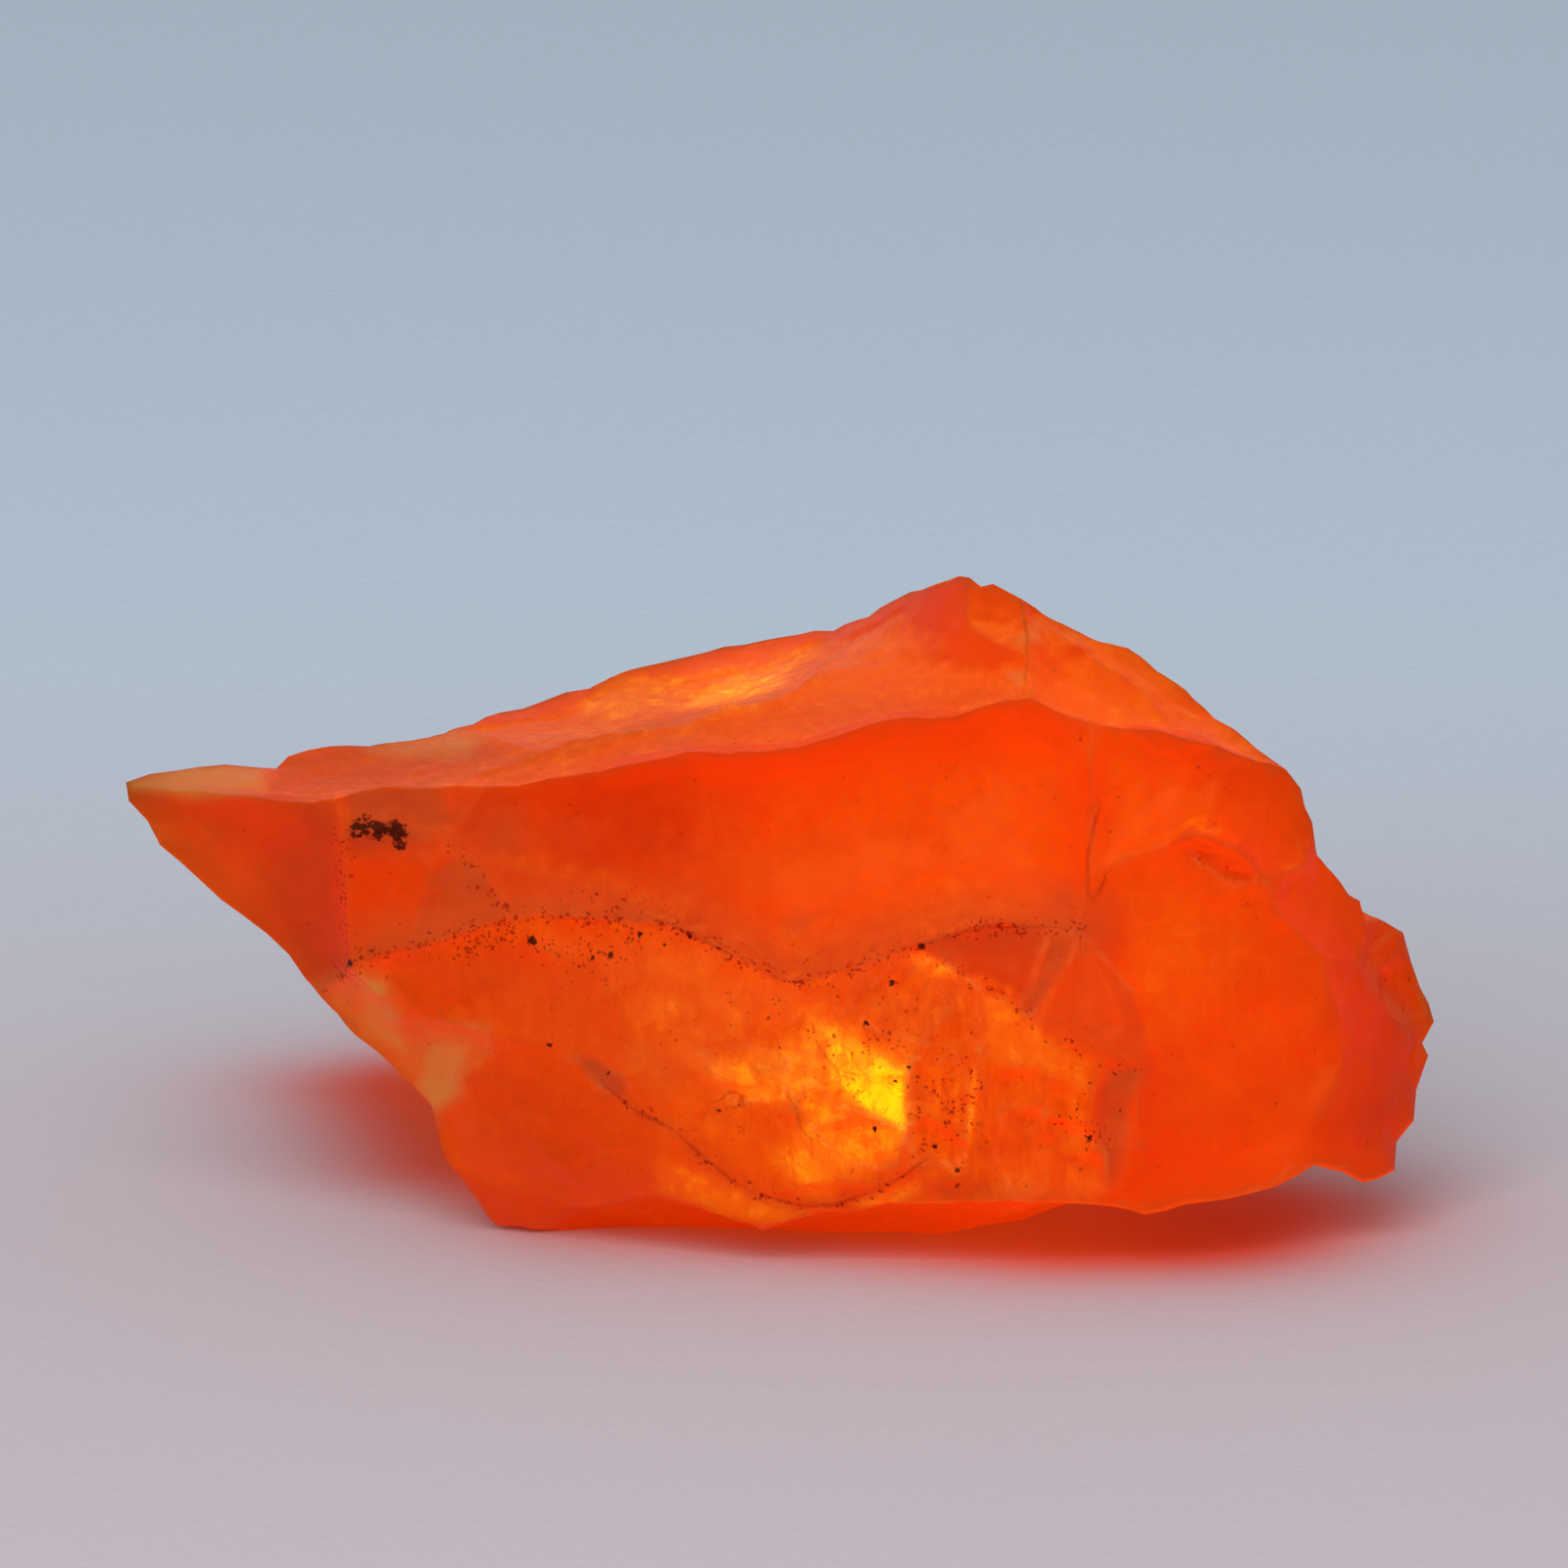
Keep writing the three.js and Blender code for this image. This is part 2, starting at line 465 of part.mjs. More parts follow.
// How far a point of a face moves outwards.
function reliefAt(point, face, sag) {
  const { dish = 0, ripple = 0, strike, coarse = 0 } = FACES[face];
  const fade = Math.min(1, sag / RIPPLE_FADE);
  const grain = noise.noise(point.x / GRAIN_SIZE, point.y / GRAIN_SIZE, point.z / GRAIN_SIZE);
  const lump = noise.noise(point.y / LUMP_SIZE, point.z / LUMP_SIZE, point.x / LUMP_SIZE);
  const lumps = coarse * (lump + grain) * fade;
  if (!ripple) return lumps - dish * sag;
  const turns = point.distanceTo(corners.get(strike)) / RIPPLE_SPACING;
  return lumps - dish * sag + ripple * Math.sin(2 * Math.PI * turns + RIPPLE_WANDER * grain) * fade;
}

// Moves the points inside every face along the face's own direction there.
function shapeFaces(triangles, near) {
  const sag = sagOfFaces(triangles, near);
  const outward = points.map(() => new THREE.Vector3());
  const faceOf = new Map();
  for (const [a, b, c, face] of triangles) {
    const normal = ringNormal([a, b, c]);
    for (const point of [a, b, c]) {
      outward[point].add(normal);
      faceOf.set(point, face);
    }
  }
  const relief = points.map((point, i) => (near[i].length ? reliefAt(point, faceOf.get(i), sag[i]) : 0));
  points.forEach((point, i) => point.addScaledVector(outward[i].normalize(), relief[i]));
}

// ---- Build ----------------------------------------------------------------------------------------

function buildSkin() {
  let triangles = FACES.flatMap(({ ring }, face) =>
    fillRing(ringOf(ring)).map((triangle) => [...triangle, face]),
  );
  for (let round = 0; round < EVENING_ROUNDS; round += 1) {
    triangles = splitLongEdges(triangles, LONGEST_EDGE);
    turnEdges(triangles);
    spreadPoints(neighboursInside(triangles), ROUND_SPREADS);
    turnEdges(triangles);
  }
  const near = neighboursInside(triangles);
  spreadPoints(near, FINAL_SPREADS);
  shapeFaces(triangles, near);
  return triangles;
}

// Closes the flat spot with large flat triangles.
function closeSole(triangles) {
  const next = new Map(openEdges(triangles).map(([a, b]) => [b, a]));
  const ring = [next.keys().next().value];
  while (next.get(ring.at(-1)) !== ring[0]) ring.push(next.get(ring.at(-1)));
  const middle = SOLE_MIDDLE.map((point) => points.push(new THREE.Vector3(...point)) - 1);
  return [...fillRing(ring, middle), middle];
}

const skin = buildSkin();
const triangles = [...skin, ...closeSole(skin)];
const geometry = new THREE.BufferGeometry();
geometry.setAttribute("position", new THREE.Float32BufferAttribute(points.flatMap((p) => p.toArray()), 3));
geometry.setIndex(triangles.flatMap((triangle) => triangle.slice(0, 3)));
geometry.computeBoundingBox();

// The origin is under the middle of the stone, on the surface that it rests on.
const { min, max } = geometry.boundingBox;
geometry.translate(-(min.x + max.x) / 2, -(min.y + max.y) / 2, -min.z);
geometry.computeVertexNormals();

const stone = new THREE.Mesh(
  geometry,
  new THREE.MeshStandardMaterial({ color: GEM_ORANGE, roughness: 0.35, metalness: 0, flatShading: true }),
);
stone.name = "rough_stone";

const gem = new THREE.Group();
gem.add(stone);

export default gem;
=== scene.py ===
"""A rough orange gemstone: its broken surface, its cloudy body and the studio it stands in."""

import json
import math

import bpy
import numpy as np
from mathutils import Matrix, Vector
from mathutils.bvhtree import BVHTree

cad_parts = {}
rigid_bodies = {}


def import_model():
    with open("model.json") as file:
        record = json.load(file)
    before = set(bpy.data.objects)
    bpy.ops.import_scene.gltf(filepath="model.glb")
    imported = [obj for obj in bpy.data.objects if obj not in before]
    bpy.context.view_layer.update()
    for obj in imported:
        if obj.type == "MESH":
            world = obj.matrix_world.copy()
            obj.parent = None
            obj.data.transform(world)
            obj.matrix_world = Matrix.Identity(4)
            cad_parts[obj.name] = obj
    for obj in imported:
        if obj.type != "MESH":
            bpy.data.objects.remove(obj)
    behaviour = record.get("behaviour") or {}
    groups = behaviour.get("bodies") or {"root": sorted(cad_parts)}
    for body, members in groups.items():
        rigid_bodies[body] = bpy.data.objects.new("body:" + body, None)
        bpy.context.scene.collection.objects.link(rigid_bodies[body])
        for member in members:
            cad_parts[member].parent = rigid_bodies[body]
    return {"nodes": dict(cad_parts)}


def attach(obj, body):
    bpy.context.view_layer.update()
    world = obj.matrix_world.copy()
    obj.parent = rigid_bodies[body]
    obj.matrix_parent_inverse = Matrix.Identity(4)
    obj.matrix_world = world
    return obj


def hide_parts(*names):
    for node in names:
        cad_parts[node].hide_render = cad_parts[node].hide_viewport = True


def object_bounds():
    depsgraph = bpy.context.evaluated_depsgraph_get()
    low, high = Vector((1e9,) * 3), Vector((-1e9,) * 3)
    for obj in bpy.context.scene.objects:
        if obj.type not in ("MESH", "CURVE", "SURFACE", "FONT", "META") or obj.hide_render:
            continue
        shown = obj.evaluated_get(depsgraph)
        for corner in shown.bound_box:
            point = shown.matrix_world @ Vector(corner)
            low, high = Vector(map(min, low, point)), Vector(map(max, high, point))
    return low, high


MM = 0.001

# ---- Studio values ----------------------------------------------------------------------------------

LEAN = math.radians(12)  # how far the camera looks down
CAMERA_DISTANCE = 300 * MM
CAMERA_AIM = Vector((0.025, -2.0, 7.787)) * MM
VIEW_WIDTH = 26.667 * MM  # width of the picture at the stone
SENSOR_WIDTH = 36.0

PAPER_BLUE = (0.59, 0.71, 0.83, 1)
PAPER_ROSE = (0.58, 0.50, 0.535, 1)
PAPER_FIBRE = (0.44, 0.44, 0.46, 1)
PAPER_TURN = (-8.0, 60.0)  # from front to back, the paper turns from rose to blue between these places
PAPER_RADIUS = 3.0  # in metres
SKY = (0.92, 0.96, 1.0, 1)
SKY_STRENGTH = 0.50
# The softbox, in millimetres and watts.
KEY_PLACE = (-40, -240, 170)
KEY_AIM = (0, 0, 4)
KEY_SIZE = (200, 200)
KEY_WATTS = 0.72

# A painted red shadow, with painted light in it, stands for the light that falls through the stone.
# It lies along this line, in millimetres across and back. It starts in the shadow behind the stone,
# comes forward past the foot, and ends at the right of the front edge.
PAINTED_SHADOW_LINE = [
    (4.5, 4), (0, 6.5), (-5.6, 8.6), (-4.5, 3.4), (-1.7, 0.4), (0.8, -0.4), (5, -2.2), (6.6, -2.2),
    (7.2, -0.8),
]
PAINTED_SHADOW_REACH = 3.3
PAINTED_LIGHT_FADE = (2.0, 9.0)  # to either side, the painted light in the painted shadow dims between these distances
# The painted shadow's red, and the painted light that glows in it.
PAINTED_SHADOW_RED = (0.48, 0.024, 0.001, 1)
PAINTED_SHADOW_LIGHT = (0.25, 0.028, 0.003)

# ---- Surface values ---------------------------------------------------------------------------------

# Lengths on the stone are in millimetres.
SHARP_EDGE = math.radians(17)  # each face is evened out up to edges that are sharper than this
SMOOTH_EDGE = math.radians(26)  # edges that are sharper than this are shaded sharp
CUTS = 3  # each triangle of the solid becomes 16
SOFTENING_ROUNDS = 6
REST_HEIGHT = 0.01  # points below this lie on the spot that the stone rests on
FOOT_MIDDLE = (-4.9, 0.1)  # the low corner at the left, which is worn round
FOOT_SIZE = (2.6, 2.4)
FOOT_ROUNDS = 30
THICK = 2.0  # the stone wears less where it is thinner than this
THIN_ROUNDS = 3  # how many neighbours away a thin place is felt
UNDER_SKIN = 0.02  # the thickness is measured from this far inside
CREASE_BEND = 0.012  # how far a point lies under its neighbours in a clear crease
WEIGHT_STEPS = 50
SCAR_DEPTH = 0.1  # the depth at the full weight of the group of scars

# Each kind of wear: its name, its pattern and the pattern's size, its depth, and the group it wears.
WEAR = [
    ("scars", None, 0, SCAR_DEPTH, "scars"),
    ("dishes", "CLOUDS", 2.2, 0.3, "back"),
    ("hollows", "CLOUDS", 0.7, 0.07, "faces"),
    ("pits", "CLOUDS", 0.3, 0.04, "faces"),
    ("chips", "VORONOI", 0.35, 0.04, "edges"),
]


# ---- Finishes ---------------------------------------------------------------------------------------


class Wire:
    """One output of a finish's nodes. A sum or product of wires and numbers adds its Math nodes."""

    def __init__(self, finish, socket):
        self.finish = finish
        self.socket = socket

    def math(self, operation, *operands, clamp=False):
        settings = {"operation": operation, "use_clamp": clamp}
        return self.finish.node("ShaderNodeMath", settings, dict(enumerate(operands)))

    def __add__(self, other):
        return self.math("ADD", self, other)

    def __sub__(self, other):
        return self.math("SUBTRACT", self, other)

    def __rsub__(self, other):
        return self.math("SUBTRACT", other, self)

    def __mul__(self, other):
        return self.math("MULTIPLY", self, other)

    def __truediv__(self, other):
        return self.math("DIVIDE", self, other)

    def __rtruediv__(self, other):
        return self.math("DIVIDE", other, self)

    def __pow__(self, other):
        return self.math("POWER", self, other)

    __radd__ = __add__
    __rmul__ = __mul__

    def size(self):
        """The same number without its sign."""
        return self.math("ABSOLUTE", self)

    def held(self):
        """The same number, held between 0 and 1."""
        return self.math("ADD", self, 0.0, clamp=True)

    def lesser(self, other):
        return self.math("MINIMUM", self, other)

    def rising(self, low, high):
        """A smooth step from 0, where the number is low, to 1, where it is high."""
        inputs = {0: self, 1: low, 2: high, 3: 0.0, 4: 1.0}
        return self.finish.node("ShaderNodeMapRange", {"interpolation_type": "SMOOTHSTEP"}, inputs)


class Finish:
    """A material, and the one way its nodes are added."""

    def __init__(self, name):
        self.material = bpy.data.materials.new(name)
        self.material.use_nodes = True
        self.material.cycles.emission_sampling = "NONE"
        self.tree = self.material.node_tree
        self.tree.nodes.clear()

    def node(self, kind, settings=None, inputs=None, output=0):
        made = self.tree.nodes.new(kind)
        for name, value in (settings or {}).items():
            setattr(made, name, value)
        for socket, value in (inputs or {}).items():
            if isinstance(value, Wire):
                self.tree.links.new(value.socket, made.inputs[socket])
            else:
                made.inputs[socket].default_value = value
        return Wire(self, made.outputs[output] if len(made.outputs) else None)

    def mix(self, first, second, share, blend="MIX"):
        """The colour that is a share of the way from the first to the second."""
        settings = {"data_type": "RGBA", "blend_type": blend}
        return self.node("ShaderNodeMix", settings, {0: share, 6: first, 7: second}, output=2)

    def vector(self, operation, *operands, output="Vector"):
        """What an operation makes of vectors."""
        inputs = dict(enumerate(operands))
        return self.node("ShaderNodeVectorMath", {"operation": operation}, inputs, output)

    def scaled(self, vector, factor):
        """A vector or a colour times a number."""
        return self.node("ShaderNodeVectorMath", {"operation": "SCALE"}, {0: vector, "Scale": factor})

    def distance(self, first, second):
        return self.vector("DISTANCE", first, second, output="Value")

    def part_of(self, vector, axis):
        """One of the three numbers of a vector."""
        return self.node("ShaderNodeSeparateXYZ", None, {0: vector}, output=axis)

    def noise(self, place, scale, detail=2.0, roughness=0.5, distortion=0.0):
        inputs = {
            "Vector": place,
            "Scale": scale,
            "Detail": detail,
            "Roughness": roughness,
            "Distortion": distortion,
        }
        return self.node("ShaderNodeTexNoise", None, inputs)

    def attribute(self, name):
        return self.node("ShaderNodeAttribute", {"attribute_name": name}, output="Fac")


# ---- The stone's mesh -------------------------------------------------------------------------------


def select_only(piece):
    bpy.ops.object.select_all(action="DESELECT")
    piece.select_set(True)
    bpy.context.view_layer.objects.active = piece


def copy_of_solid(node, name):
    """A copy of a CAD node with its own mesh, its loose triangles merged into one skin."""
    piece = node.copy()
    piece.data = node.data.copy()
    piece.name = name
    piece.data.name = name
    piece.parent = None
    for key in list(piece.keys()):
        del piece[key]
    piece.data.materials.clear()
    bpy.context.scene.collection.objects.link(piece)
    select_only(piece)
    bpy.ops.object.mode_set(mode="EDIT")
    bpy.ops.mesh.select_all(action="SELECT")
    bpy.ops.mesh.remove_doubles(threshold=0.0001 * MM)
    bpy.ops.object.mode_set(mode="OBJECT")
    return piece


def add_mark(piece, name, strength):
    mark = piece.data.attributes.new(name, "FLOAT", "POINT")
    mark.data.foreach_set("value", strength.astype(np.float32))


def mark_of(piece, name):
    strength = np.zeros(len(piece.data.vertices), np.float32)
    piece.data.attributes[name].data.foreach_get("value", strength)
    return strength


def mark_group(piece, name, weights):
    """Gives a vertex group its weights, rounded to even steps."""
    group = piece.vertex_groups.new(name=name)
    weights = np.round(weights * WEIGHT_STEPS) / WEIGHT_STEPS
    for level in np.unique(weights):
        if level > 0:
            group.add(np.flatnonzero(weights == level).tolist(), float(level), "REPLACE")


def above_rest(piece):
    """0 for each point on the spot that the stone rests on, 1 for the others."""
    return places_of(piece)[:, 2] > REST_HEIGHT


def places_of(piece):
    """The points of a piece in millimetres, one row each."""
    flat = np.zeros(len(piece.data.vertices) * 3, np.float32)
    piece.data.vertices.foreach_get("co", flat)
    return flat.reshape(-1, 3) / MM


def facings_of(piece):
    """The direction that each point of a piece faces, one row each."""
    flat = np.zeros(len(piece.data.vertices) * 3, np.float32)
    piece.data.vertex_normals.foreach_get("vector", flat)
    return flat.reshape(-1, 3)


def even_out(piece, name, rounds, group):
    """Smooths the points of a group."""
    even = piece.modifiers.new(name, "SMOOTH")
    even.factor = 0.5
    even.iterations = rounds
    even.vertex_group = group
    bpy.ops.object.modifier_apply(modifier=even.name)


def refine(piece):
    """Splits the solid's triangles, evens out each face up to its sharp edges and rounds the foot."""
    select_only(piece)
    bpy.ops.object.mode_set(mode="EDIT")
    bpy.ops.mesh.select_mode(type="EDGE")
    bpy.ops.mesh.select_all(action="DESELECT")
    bpy.ops.mesh.edges_select_sharp(sharpness=SHARP_EDGE)
    bpy.ops.mesh.select_mode(type="VERT")
    bpy.ops.object.mode_set(mode="OBJECT")
    picked = np.zeros(len(piece.data.vertices), bool)
    piece.data.vertices.foreach_get("select", picked)
    add_mark(piece, "sharp", picked)
    bpy.ops.object.mode_set(mode="EDIT")
    bpy.ops.mesh.select_all(action="SELECT")
    bpy.ops.mesh.subdivide(number_cuts=CUTS, smoothness=0)
    bpy.ops.object.mode_set(mode="OBJECT")
    mark_group(piece, "within", (1 - mark_of(piece, "sharp")) * above_rest(piece))
    even_out(piece, "even", SOFTENING_ROUNDS, "within")
    foot = around(on_front(places_of(piece)), FOOT_MIDDLE, *FOOT_SIZE)
    mark_group(piece, "foot", np.clip(3 * foot, 0, 1))
    even_out(piece, "rounded", FOOT_ROUNDS, "foot")


def wear_down(piece, name, pattern, size, depth, group):
    """Takes material off the surface, after a pattern or evenly, and adds none."""
    wear = piece.modifiers.new(name, "DISPLACE")
    if pattern:
        wear.texture = bpy.data.textures.new(name, pattern)
        wear.texture.noise_scale = size * MM
        wear.texture_coords = "LOCAL"
    wear.mid_level = 1.0 if pattern else 0.0
    wear.strength = depth * MM if pattern else -depth * MM
    wear.vertex_group = group
    select_only(piece)
    bpy.ops.object.modifier_apply(modifier=wear.name)


def keep_within(piece, box):
    """Moves any point that stands out of a box onto its wall."""
    inside_box = np.clip(places_of(piece) * MM, box[0], box[1])
    piece.data.vertices.foreach_set("co", inside_box.astype(np.float32).ravel())
    piece.data.update()


# ---- Marks on the stone -----------------------------------------------------------------------------


SHEET_AHEAD = 2.0  # the sheet stands on the paper this far in front of the stone's middle
FRONT_LIMIT = 0.35  # what faces further back than this has no marks of the front
FRONT_FADE = 0.4  # the marks fade over this much before the limit


def on_front(places):
    """Places as seen on a sheet that faces the camera: across and up."""
    up = places[:, 2] * math.cos(LEAN) + (places[:, 1] + SHEET_AHEAD) * math.sin(LEAN)
    return np.stack([places[:, 0], up], axis=1)


def beside(spots, line):
    """The distance from each spot to a line through points, below 0 on the right of the line."""
    nearest = np.full(len(spots), np.inf)
    for start, end in zip(line, line[1:]):
        run = np.subtract(end, start)
        away = spots - start
        share = np.clip(away @ run / (run @ run), 0, 1)
        gap = np.linalg.norm(away - share[:, None] * run, axis=1)
        gap = np.where(run[0] * away[:, 1] < run[1] * away[:, 0], -gap, gap)
        nearest = np.where(np.abs(gap) < np.abs(nearest), gap, nearest)
    return nearest


def distance_to(spots, line):
    return np.abs(beside(spots, line))


def along(spots, line, reach):
    """1 on a line, falling to 0 at its reach."""
    return np.clip(1 - distance_to(spots, line) / reach, 0, 1)


def around(spots, middle, width, height):
    """1 in the middle of an oval patch, falling to 0 at its rim."""
    across, up = ((spots - middle) / (width / 2, height / 2)).T
    return np.clip(1 - np.hypot(across, up), 0, 1)


# Lines on the sheet, each with its points across and up.
LIP = [
    (-7.9, 4), (-7.2, 4.6), (-6.5, 4.8), (-5.8, 5), (-5, 5.3), (-4.1, 5.4), (-2.6, 5.3), (-1.8, 5.2),
    (-0.8, 4.7), (0, 4.3), (0.5, 4.3), (1.2, 4.5), (2.3, 4.9), (3.4, 5.2), (4.4, 5.2), (5, 5.2),
]
LOWER_LIP = [(2.3, 4.9), (3.4, 4.2), (4.2, 3.6), (5.4, 2.9), (6.1, 2.8)]
BELLY = LIP[:12] + LOWER_LIP + [(5.8, 0.6), (-2, 0), (-5.6, 1), (-7.2, 3.3)]
UPPER_SPECKS = [(-5.6, 6.5), (-5, 6), (-4.8, 5.6), (-4.1, 5.5), (-3, 5.7), (-2, 5.3), (-1.3, 5)]
SEAM = [(-7.4, 6.8), (-7.4, 6), (-7.3, 5), (-7.3, 4.5)]
CRESCENT_EDGE = [(-5.4, 4.8), (-4.6, 5.1), (-4, 4.9), (-3.3, 4.7), (-2.7, 4.7), (-2.4, 5.1)]
FOLD = [
    (-3, 2.5), (-2.5, 2.1), (-1.9, 1.8), (-1.2, 1.2), (-0.9, 0.95), (-0.5, 0.7), (0, 0.55), (0.4, 0.47),
    (0.9, 0.5), (1.5, 0.72), (2, 0.97), (2.4, 1.25),
]
CREST = [(0.02, 2.45), (0.22, 2.2), (0.28, 1.9), (0.42, 1.65), (0.75, 1.45)]
RIPPLE = [(-1, 2.35), (-0.85, 2.45), (-0.7, 2.35), (-0.65, 2.2), (-0.8, 2.15)]
HAIRLINE = [(0.5, 3.6), (0.6, 3.2), (0.75, 3), (0.95, 2.75)]
CRACK = [(5.3, 7.1), (5.15, 6.4), (5.15, 5.5)]
SIDE_CRACK = [(5.1, 5.4), (5.45, 6)]
PEAK_EDGE = [(4.05, 10.7), (4.15, 10.1), (4.1, 9.4)]
SOOT = [(-7.2, 6.85), (-7, 6.95), (-6.85, 6.8), (-6.5, 6.85), (-6.45, 6.65)]
SCRATCH = [(5, 5.2), (5.9, 4.1)]
SHELL_EDGE = [(9.9, 4.7), (10.1, 4.2), (10.6, 3.6)]
FOOT_EDGE = [(9.5, 1.1), (8.6, 1.15), (8.4, 0.9), (7.8, 0.65)]
UPPER_RIM = [(-6, 7.6), (-4.2, 8.1), (-1.6, 8.7), (-0.1, 9.1)]

# Thin lines in the finish; along the lip the dark line is a painted shadow line. The rims of the scars
# are pale too.
DARK_LINES = [FOLD, CREST, RIPPLE, HAIRLINE, LIP[7:11], LIP[12:15], CRACK, SIDE_CRACK, PEAK_EDGE]
PALE_LINES = [SCRATCH, SHELL_EDGE, FOOT_EDGE, UPPER_RIM]

# Lines where dirt gathers, with a painted shadow line along the seam, and lines where the surface is
# hazy, each with its strength and its reach.
DIRT_AND_SHADOW_LINES = [
    (LIP, 1.8, 0.2),
    (LOWER_LIP, 0.8, 0.25),
    (UPPER_SPECKS, 0.9, 0.35),
    # Along the seam the grains are a painted shadow line.
    (SEAM, 1.2, 0.25),
    (CRESCENT_EDGE, 2.2, 0.24),
    (FOLD, 0.8, 0.2),
]
HAZY_LINES = [(FOLD, 0.3, 0.3), (SHELL_EDGE, 0.6, 0.25), (UPPER_RIM, 0.4, 0.2)]
# Oval patches where dirt gathers, each with its strength, middle, width and height.
DIRTY_OVALS = [
    (1.3, (2.7, 2.2), 2.0, 3.0),
    (0.6, (1.5, 3.0), 2.8, 2.6),
    (0.8, (5.2, 1.9), 1.6, 2.6),
    (0.4, (-3.6, 4.8), 5.0, 2.6),
    (0.25, (0, 3.5), 12.0, 8.0),
]

# Patches of the front, each with its corners, its strength and the width of its soft rim.
HAZY = {
    "strip along the top": ([
        (-6, 7.5), (-4.2, 8.1), (-1.6, 8.7), (-0.1, 9), (1.7, 9.2), (4, 9.3), (4, 9.1), (2.5, 8.7),
        (0.9, 8.4), (-1.6, 8.1), (-4, 7.7), (-5.8, 7.4),
    ], 0.32, 0.5),
    "veil beside the seam": ([
        (-6.3, 5.2), (-5.9, 6.1), (-5.5, 6.4), (-5.1, 6.3), (-4.8, 5.7), (-4.6, 5.4), (-5.3, 5.1),
        (-6.3, 4.8),
    ], 0.7, 0.2),
    "skin round the soot": ([(-7.4, 7.7), (-5.8, 7.7), (-5.5, 7), (-6, 6.5), (-7.3, 6.4)], 0.7, 0.5),
    "chip corner": ([(4.3, 5.7), (4.8, 6), (5.1, 5.7), (5, 5.2), (4.5, 5.2)], 0.6, 0.4),
    "cloud over the lip": ([(-0.1, 5.2), (0.3, 5.5), (0.6, 5.3), (0.4, 5), (0, 5)], 0.5, 0.35),
    "small cloud over the lip": ([(-1.8, 5.9), (-1.4, 6), (-1.3, 5.7), (-1.5, 5.5)], 0.4, 0.4),
    "split facet": ([(4.5, 5.1), (5, 5.1), (4.8, 4.5), (4.2, 3.7), (4, 3.8), (4.3, 4.5)], 0.75, 0.25),
    "facet under the scratch": ([
        (5.1, 5.1), (5.9, 4.1), (6.2, 2.9), (5.4, 3), (4.3, 3.6), (4.8, 4.5),
    ], 0.3, 0.2),
    "fold facet": ([
        (5.6, 2.9), (6.2, 2.8), (5.9, 2.3), (5.8, 1.4), (5.6, 0.8), (5.45, 0.9), (5.3, 1.6),
        (5.3, 2.3),
    ], 0.7, 0.25),
    "low right flake": ([
        (3.7, 2.1), (4.4, 2), (5.4, 1.4), (5.45, 0.7), (5.1, 0.5), (4, 0.6), (3.7, 1.3),
    ], 0.12, 0.2),
    "beak": ([(-11.2, 8), (-7.5, 7.4), (-7.4, 4.4), (-8, 4), (-11.2, 7.4)], 0.4, 0.4),
    "left of the belly": ([(-6.2, 4.6), (-2, 5), (0, 4), (-1, 2), (-3.5, 3)], 0.2, 1),
    "left end of the strip": ([(-5.5, 8), (-3, 8.5), (-3, 8.1), (-5.5, 7.6)], 0.4, 0.2),
    "back rim of the beak": ([
        (-8.4, 8.1), (-6.6, 8.4), (-5, 8.4), (-4.4, 8.2), (-4.9, 7.9), (-5.8, 7.7), (-8, 7.4),
        (-8.8, 7.5),
    ], 0.6, 0.4),
    "grey flake at the fold": ([
        (-3.5, 3), (-3.2, 3), (-2.7, 2.7), (-2.6, 2.3), (-3, 2.4), (-3.3, 2.7),
    ], 0.9, 0.2),
    "low rim": ([(1.5, 0.7), (2.3, 0.9), (5.2, 0.8), (5.2, 0.5), (2.5, 0.6)], 0.35, 0.3),
    "cloud above the fold": ([
        (-3.2, 3.4), (-2.4, 3.4), (-1.5, 3), (-1.4, 2.6), (-2.1, 2.2), (-2.6, 2.6),
    ], 0.3, 0.5),
    "cloud beside the ripple": ([(-0.6, 2.9), (0.1, 3), (0.1, 2.7), (-0.5, 2.7)], 0.4, 0.25),
    "skin right of the soot": ([
        (-5.9, 7.3), (-4.5, 7.4), (-4.2, 6.6), (-4.8, 6.2), (-5.7, 6.4),
    ], 0.4, 0.5),
}
CREAMY = {
    "skin at the left": ([
        (-7.9, 4.2), (-7.1, 4.5), (-6.8, 4.4), (-6.4, 3.6), (-5.7, 3.5), (-5, 3.5), (-5, 3.1),
        (-5.5, 2.7), (-5.6, 2.3), (-6, 2), (-6.3, 2.6), (-6.7, 3), (-7.2, 3.3),
    ], 0.4, 0.4),
    "upper part of that skin": ([
        (-7.2, 4.4), (-6.8, 4.3), (-6.4, 3.4), (-6.4, 3), (-7.1, 3.4),
    ], 0.95, 0.3),
    "lower part of that skin": ([
        (-6, 3.3), (-5.3, 3.2), (-5.5, 2.7), (-5.5, 2.4), (-6, 2), (-6.2, 2.5),
    ], 0.95, 0.3),
    "top of the beak": ([(-11, 7.6), (-10.2, 7.9), (-8.9, 7.9), (-8.8, 7.5), (-10, 7.4)], 0.9, 0.3),
    "back rim of the beak": ([
        (-7, 8.2), (-5.6, 8.5), (-5.1, 8.4), (-5.4, 8.1), (-6.6, 8.1),
    ], 0.6, 0.3),
    "nick at the peak": ([(4, 10), (4.3, 10.3), (4.3, 10.1)], 0.6, 0.2),
    "nick under the peak": ([(3.8, 9.5), (4.1, 9.5), (4, 9.3)], 0.6, 0.2),
}
